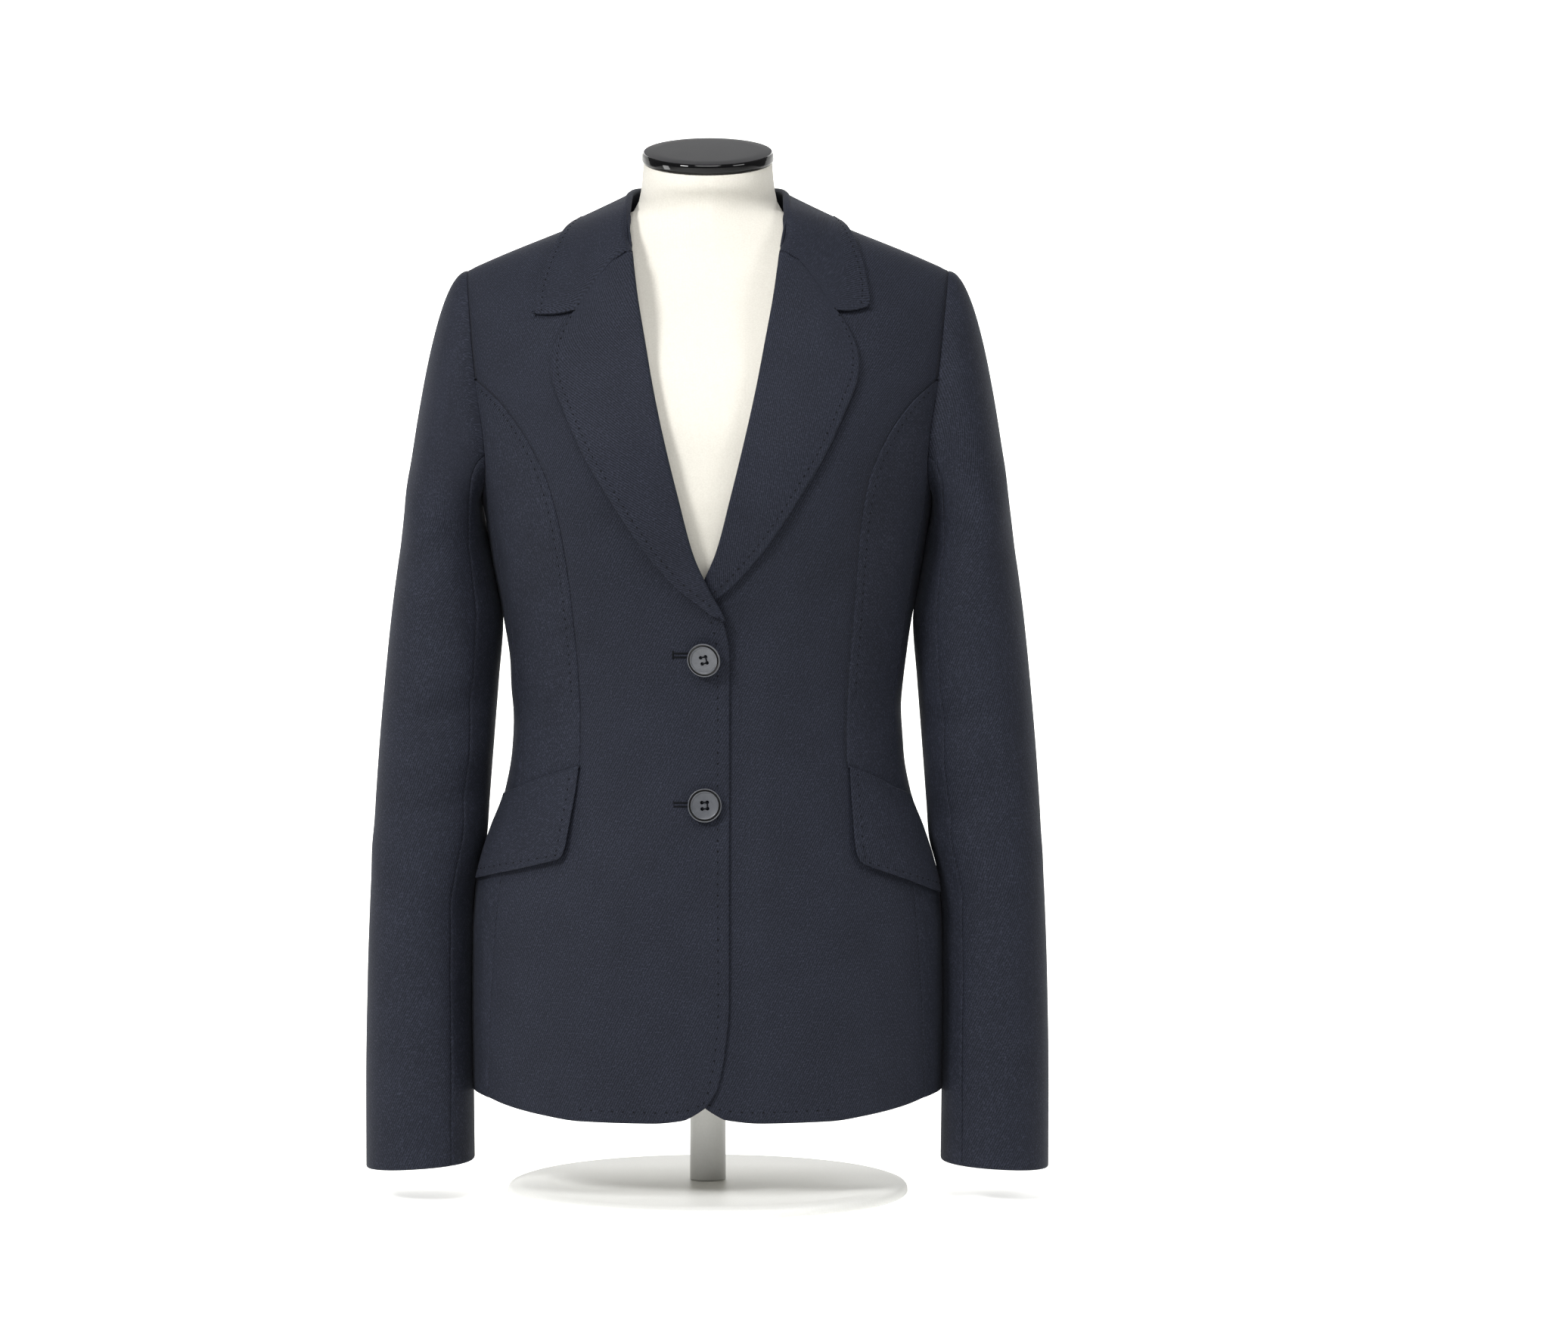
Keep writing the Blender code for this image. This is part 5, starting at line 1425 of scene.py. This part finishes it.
button = {
    "heights": (373.0, 274.0), "names": ("buttonUpper", "buttonLower"),
    "nodes": ("button_upper", "button_lower"), "radius": 11.5, "standOff": (2.4, 0.6),
    "turn": (14.0, 3.0), "tilt": (15.0, 2.0),  # the upper one hangs askew on its thread
    "tiltAxis": (0.37, -0.93, 0), "edgeRound": 0.18,
    "holes": (1.8, 2.15),  # from the middle to each hole
    "holeRadius": 1.25, "threadRadius": 0.45, "shankRadius": 1.7, "shankSink": 0.3,
    "bridge": (2.6, 0.35, 8.8),  # height of the thread at the holes, its rise between, its dive into them
    "profile": (  # share of the radius, height
        (0, 2.5), (0.5, 2.55), (0.74, 2.75), (0.77, 3.5), (0.82, 3.6), (0.84, 2.0), (0.92, 2.0),
        (0.935, 3.5), (0.985, 3.5), (1, 2.4), (0.93, 0.9), (0.7, 0.2), (0, 0),
    ),
    "grooveShade": ((0.825, 0.932), (1.9, 3.3)),  # the same, between which the groove's painted black shade lies
}


def frameAt(z):  # place on the right front at the centre line, with the folds' depth
    normal = skinNormal(0.0, z)
    place = skin(0.0, z)
    depth = foldDepth(np.array([(-0.1, place.y, z)]), "body")[0]
    return place + normal * float(depth), normal


# Cuts the four holes out of a button.
def drillHoles(piece):
    wide, high = button["holes"]
    cutter = bmesh.new()
    for x, y in ((-wide, -high), (wide, -high), (-wide, high), (wide, high)):
        drill = bmesh.ops.create_cone(
            cutter, cap_ends=True, segments=20, radius1=button["holeRadius"] * mm,
            radius2=button["holeRadius"] * mm, depth=12 * mm)
        bmesh.ops.translate(cutter, verts=drill["verts"], vec=(x * mm, y * mm, 0))
    drillMesh = bpy.data.meshes.new("drill")
    cutter.to_mesh(drillMesh)
    cutter.free()
    drillPiece = addObject("drill", drillMesh)
    cut = piece.modifiers.new("holes", "BOOLEAN")
    cut.object = drillPiece
    bpy.context.view_layer.update()
    evaluated = piece.evaluated_get(bpy.context.evaluated_depsgraph_get())
    made = bpy.data.meshes.new_from_object(evaluated)
    piece.modifiers.clear()
    piece.data = made
    bpy.data.objects.remove(drillPiece, do_unlink=True)


def makeButton(which):
    r = button["radius"]
    profile = rounded([(r * share, z) for share, z in button["profile"]], button["edgeRound"], 3)
    piece = turned(button["names"][which], profile, polyester, 72, 60)
    piece.data.materials.append(grooveShade)
    (nearest, furthest), (low, high) = button["grooveShade"]
    # faces in the groove take the black finish, which paints the shade in the groove
    for face in piece.data.polygons:
        away, up = face.center.xy.length / mm / r, face.center.z / mm
        face.material_index = int(nearest < away < furthest and low < up < high)
    drillHoles(piece)
    place, normal = frameAt(button["heights"][which])
    turn = normal.to_track_quat("Z", "Y").to_matrix().to_4x4()
    tilt = Matrix.Rotation(math.radians(button["tilt"][which]), 4, Vector(button["tiltAxis"]))
    spin = Matrix.Rotation(math.radians(button["turn"][which]), 4, "Z")
    at = Matrix.Translation((place + normal * button["standOff"][which]) * mm) @ turn @ tilt @ spin
    piece.data.transform(at)
    piece.data.set_sharp_from_angle(angle=math.radians(50))
    settle(piece, "button", button["nodes"][which])
    wide, high = button["holes"]
    level, rise, dive = button["bridge"]
    verts, faces = [], []
    for a, b in (((-1, 1), (1, 1)), ((1, 1), (1, -1)), ((1, -1), (-1, -1))):  # a Z of thread
        line = [(wide * lerp(a[0], b[0], (1 + x) / 2), high * lerp(a[1], b[1], (1 + x) / 2),
                 level + rise * (1 - x * x) - dive * max(0, abs(x) - 0.8))
                for x in (-1.05, -0.9, -0.5, 0, 0.5, 0.9, 1.05)]
        strand = [at @ (Vector(p) * mm) / mm for p in line]
        addTube(verts, faces, ringsAlong(strand, button["threadRadius"], 8))
    shank = (place - normal * button["shankSink"], at @ Vector((0, 0, 0.4 * mm)) / mm)
    addTube(verts, faces, ringsAlong(shank, button["shankRadius"], 14))
    settle(meshPiece("buttonThread" + ("Upper", "Lower")[which], verts, faces, dimpleShadedThread), "button")


# Rings of points round a line, narrower at its ends.
def ringsAlong(line, radius, sides):
    rings = []
    for i, point in enumerate(line):
        way = (line[min(i + 1, len(line) - 1)] - line[max(i - 1, 0)]).normalized()
        a = way.orthogonal().normalized() if i == 0 else (a - way * a.dot(way)).normalized()
        size = radius * (0.45 if i in (0, len(line) - 1) else 1)
        rings.append(circle(point, a, way.cross(a), size, sides))
    return rings


for which in range(2):
    makeButton(which)
print("buttons made")


# Stitches

stitch = {
    "length": 1.7, "radius": 0.54, "sink": 0.06,
    "inset": {"collar": 6.2, "lapel": 5.4, "front": 8.0, "flap": 6.3, "sideFront": 6.2},
    "pitch": {"collar": 5.2, "lapel": 5.6, "front": 7.4, "flap": 7.1, "sideFront": 6.2},
}


# The line that runs at a distance inside one side of a panel, with its normals.
def insideLine(name, side, distance, first=0.0, last=1.0):
    points, normals = sheets[name]
    if side in "bt":
        points, normals = points.swapaxes(0, 1), normals.swapaxes(0, 1)
    if side in "rt":
        points, normals = points[:, ::-1], normals[:, ::-1]
    line = []
    for j in range(round(first * (len(points) - 1)), round(last * (len(points) - 1)) + 1):
        run = 0.0
        for i in range(points.shape[1] - 1):
            step = float(np.linalg.norm(points[j, i + 1] - points[j, i]))
            if math.isnan(step):
                break
            if run + step >= distance:
                t = (distance - run) / step
                place = points[j, i] * (1 - t) + points[j, i + 1] * t
                line.append((Vector(place), Vector(normals[j, i]).normalized()))
                break
            run += step
    return line


def stitchLine(line, pitch, out):
    left = pitch * 0.5
    for (a, normal), (b, _) in zip(line, line[1:]):
        step = (b - a).length
        while left <= step:
            place = a.lerp(b, left / step)
            out.append((place, (b - a).normalized(), normal))
            left += pitch
        left -= step


def stitchMesh(name, places, length, radius, sink, slotName, rings=5, sides=6):
    verts, faces = [], []
    for place, way, normal in places:
        across = normal.cross(way).normalized()
        middle = place - normal * sink
        loops = []
        for t in (i / (rings - 1) for i in range(rings)):
            size = radius * max(0.25, math.sin(math.pi * (0.08 + 0.84 * t)))
            loops.append(circle(middle + way * (length * (t - 0.5)), across, normal, size, sides))
        addTube(verts, faces, loops)
    settle(meshPiece(name, verts, faces, dimpleShadedThread, 80), slotName)


def sewPickStitches():
    places = []
    runs = (
        ("lapelLeft", "r", 0.06, 0.985, "lapel"), ("lapelRight", "l", 0.04, 0.985, "lapel"),
        ("jacketCollar", "t", 0.04, 0.96, "collar"), ("frontRight", "r", 0.02, 0.6, "front"),
        ("flapLeft", "b", 0.08, 0.98, "flap"), ("flapRight", "b", 0.02, 0.92, "flap"),
        ("flapLeft", "l", 0.12, 0.9, "flap"), ("flapRight", "r", 0.12, 0.9, "flap"),
        ("sideFrontLeft", "l", 0.2, 0.98, "sideFront"), ("sideFrontRight", "r", 0.2, 0.98, "sideFront"),
        ("frontLeft", "b", 0.08, 0.62, "front"), ("frontRight", "b", 0.38, 0.92, "front"),
    )
    for name, side, first, last, kind in runs:
        line = insideLine(name, side, stitch["inset"][kind], first, last)
        stitchLine(line, stitch["pitch"][kind], places)
    stitchMesh("pickStitches", places, stitch["length"], stitch["radius"], stitch["sink"], "suiting")
    print(len(places), "pick stitches")


buttonhole = {
    "heights": (375.6, 274.7), "outer": -20.8, "inner": -9.0, "pitch": 0.66, "gap": 1.3,
    "length": 1.7, "radius": 0.42,
    "bar": 9, "barPitch": 0.62, "barOut": 0.6,  # the bar of stitches across the outer end
}


def sewButtonholes():
    places = []
    for z in buttonhole["heights"]:
        count = round((buttonhole["inner"] - buttonhole["outer"]) / buttonhole["pitch"])
        for k in range(count + 1):
            x = lerp(buttonhole["outer"], buttonhole["inner"], k / count)
            for side in (-1, 1):
                height = z + side * buttonhole["gap"]
                place, normal = skinFrame(x, height)
                depth = float(foldDepth(np.array([tuple(place)]), "body")[0])
                places.append((place + normal * depth, Vector((0, 0, 1)), normal))
        for k in range(buttonhole["bar"]):
            height = z + (k - buttonhole["bar"] // 2) * buttonhole["barPitch"]
            place, normal = skinFrame(buttonhole["outer"] - buttonhole["barOut"], height)
            places.append((place, Vector((1, 0, 0)), normal))
    stitchMesh("buttonholeStitches", places, buttonhole["length"], buttonhole["radius"], 0.0, "suiting")


sewPickStitches()
sewButtonholes()
print("stitches made")


# Camera, light and floor

view = {"place": (0.0533, -2.6, 0.3677), "lens": 85.2, "sensor": 36.0}
light = {
    "world": "#ffffff", "worldStrength": 0.17,
    "areas": (  # place, aim, size, watts
        ((-1.5, -1.9, 2.0), (0, 0, 0.42), 0.55, 66.0),
        ((2.0, -1.5, 1.9), (0, 0, 0.5), 0.9, 20.0),
        ((0.0, -1.3, 2.5), (0, 0, 0.4), 1.0, 34.0),
        ((0.0, 2.2, 1.8), (0, 0, 0.6), 1.6, 16.0),
        ((-2.0, -0.4, 0.25), (0, 0, 0.7), 0.45, 5.0),
    ),
    "floor": "#f4f4f2", "glow": 0.92, "glowFrom": -1.0, "glowTo": 0.3,  # it glows behind the form
    "sweep": (  # depth and height of the backdrop's profile
        (-4.0, 0.0), (2.0, 0.0), (2.4, 0.05), (2.75, 0.2), (2.95, 0.45), (3.0, 0.8), (3.0, 4.0),
    ),
}


def makeStudio():
    camera = addObject("camera", bpy.data.cameras.new("camera"))
    camera.location = view["place"]
    camera.rotation_euler = (math.radians(90), 0, 0)
    camera.data.lens = view["lens"]
    camera.data.sensor_width = view["sensor"]
    bpy.context.scene.camera = camera
    for number, (place, aim, size, watts) in enumerate(light["areas"]):
        lamp = bpy.data.lights.new(f"softbox{number}", "AREA")
        lamp.shape = "SQUARE"
        lamp.size = size
        lamp.energy = watts
        box = addObject(lamp.name, lamp)
        box.location = place
        box.rotation_euler = (Vector(aim) - Vector(place)).to_track_quat("-Z", "Y").to_euler()
    bpy.context.scene.view_settings.view_transform = "Standard"  # no film curve over the colours
    world = bpy.data.worlds.new("studio")
    bpy.context.scene.world = world
    world.use_nodes = True
    sky = world.node_tree.nodes["Background"]
    sky.inputs["Color"].default_value = colour(light["world"])
    sky.inputs["Strength"].default_value = light["worldStrength"]
    verts = []
    for y, z in light["sweep"]:
        verts += [(-5, y, z - 0.0005), (5, y, z - 0.0005)]
    faces = [(2 * k, 2 * k + 1, 2 * k + 3, 2 * k + 2) for k in range(len(light["sweep"]) - 1)]
    mesh = bpy.data.meshes.new("floor")
    mesh.from_pydata(verts, [], faces)
    mesh.shade_smooth()
    tone = colour(light["floor"])
    paper, tree, shader = newFinish("backdropPaper", Roughness=0.9, Base_Color=tone, Emission_Color=tone)
    apart = addNode(tree, "ShaderNodeSeparateXYZ", Vector=objectPlace(tree))
    glow = addNode(
        tree, "ShaderNodeMapRange", Value=(apart, "Y"), From_Min=light["glowFrom"],
        From_Max=light["glowTo"], To_Max=light["glow"],
    )
    tree.links.new(glow.outputs["Result"], shader.inputs["Emission Strength"])
    mesh.materials.append(paper)
    addObject("floor", mesh)


makeStudio()
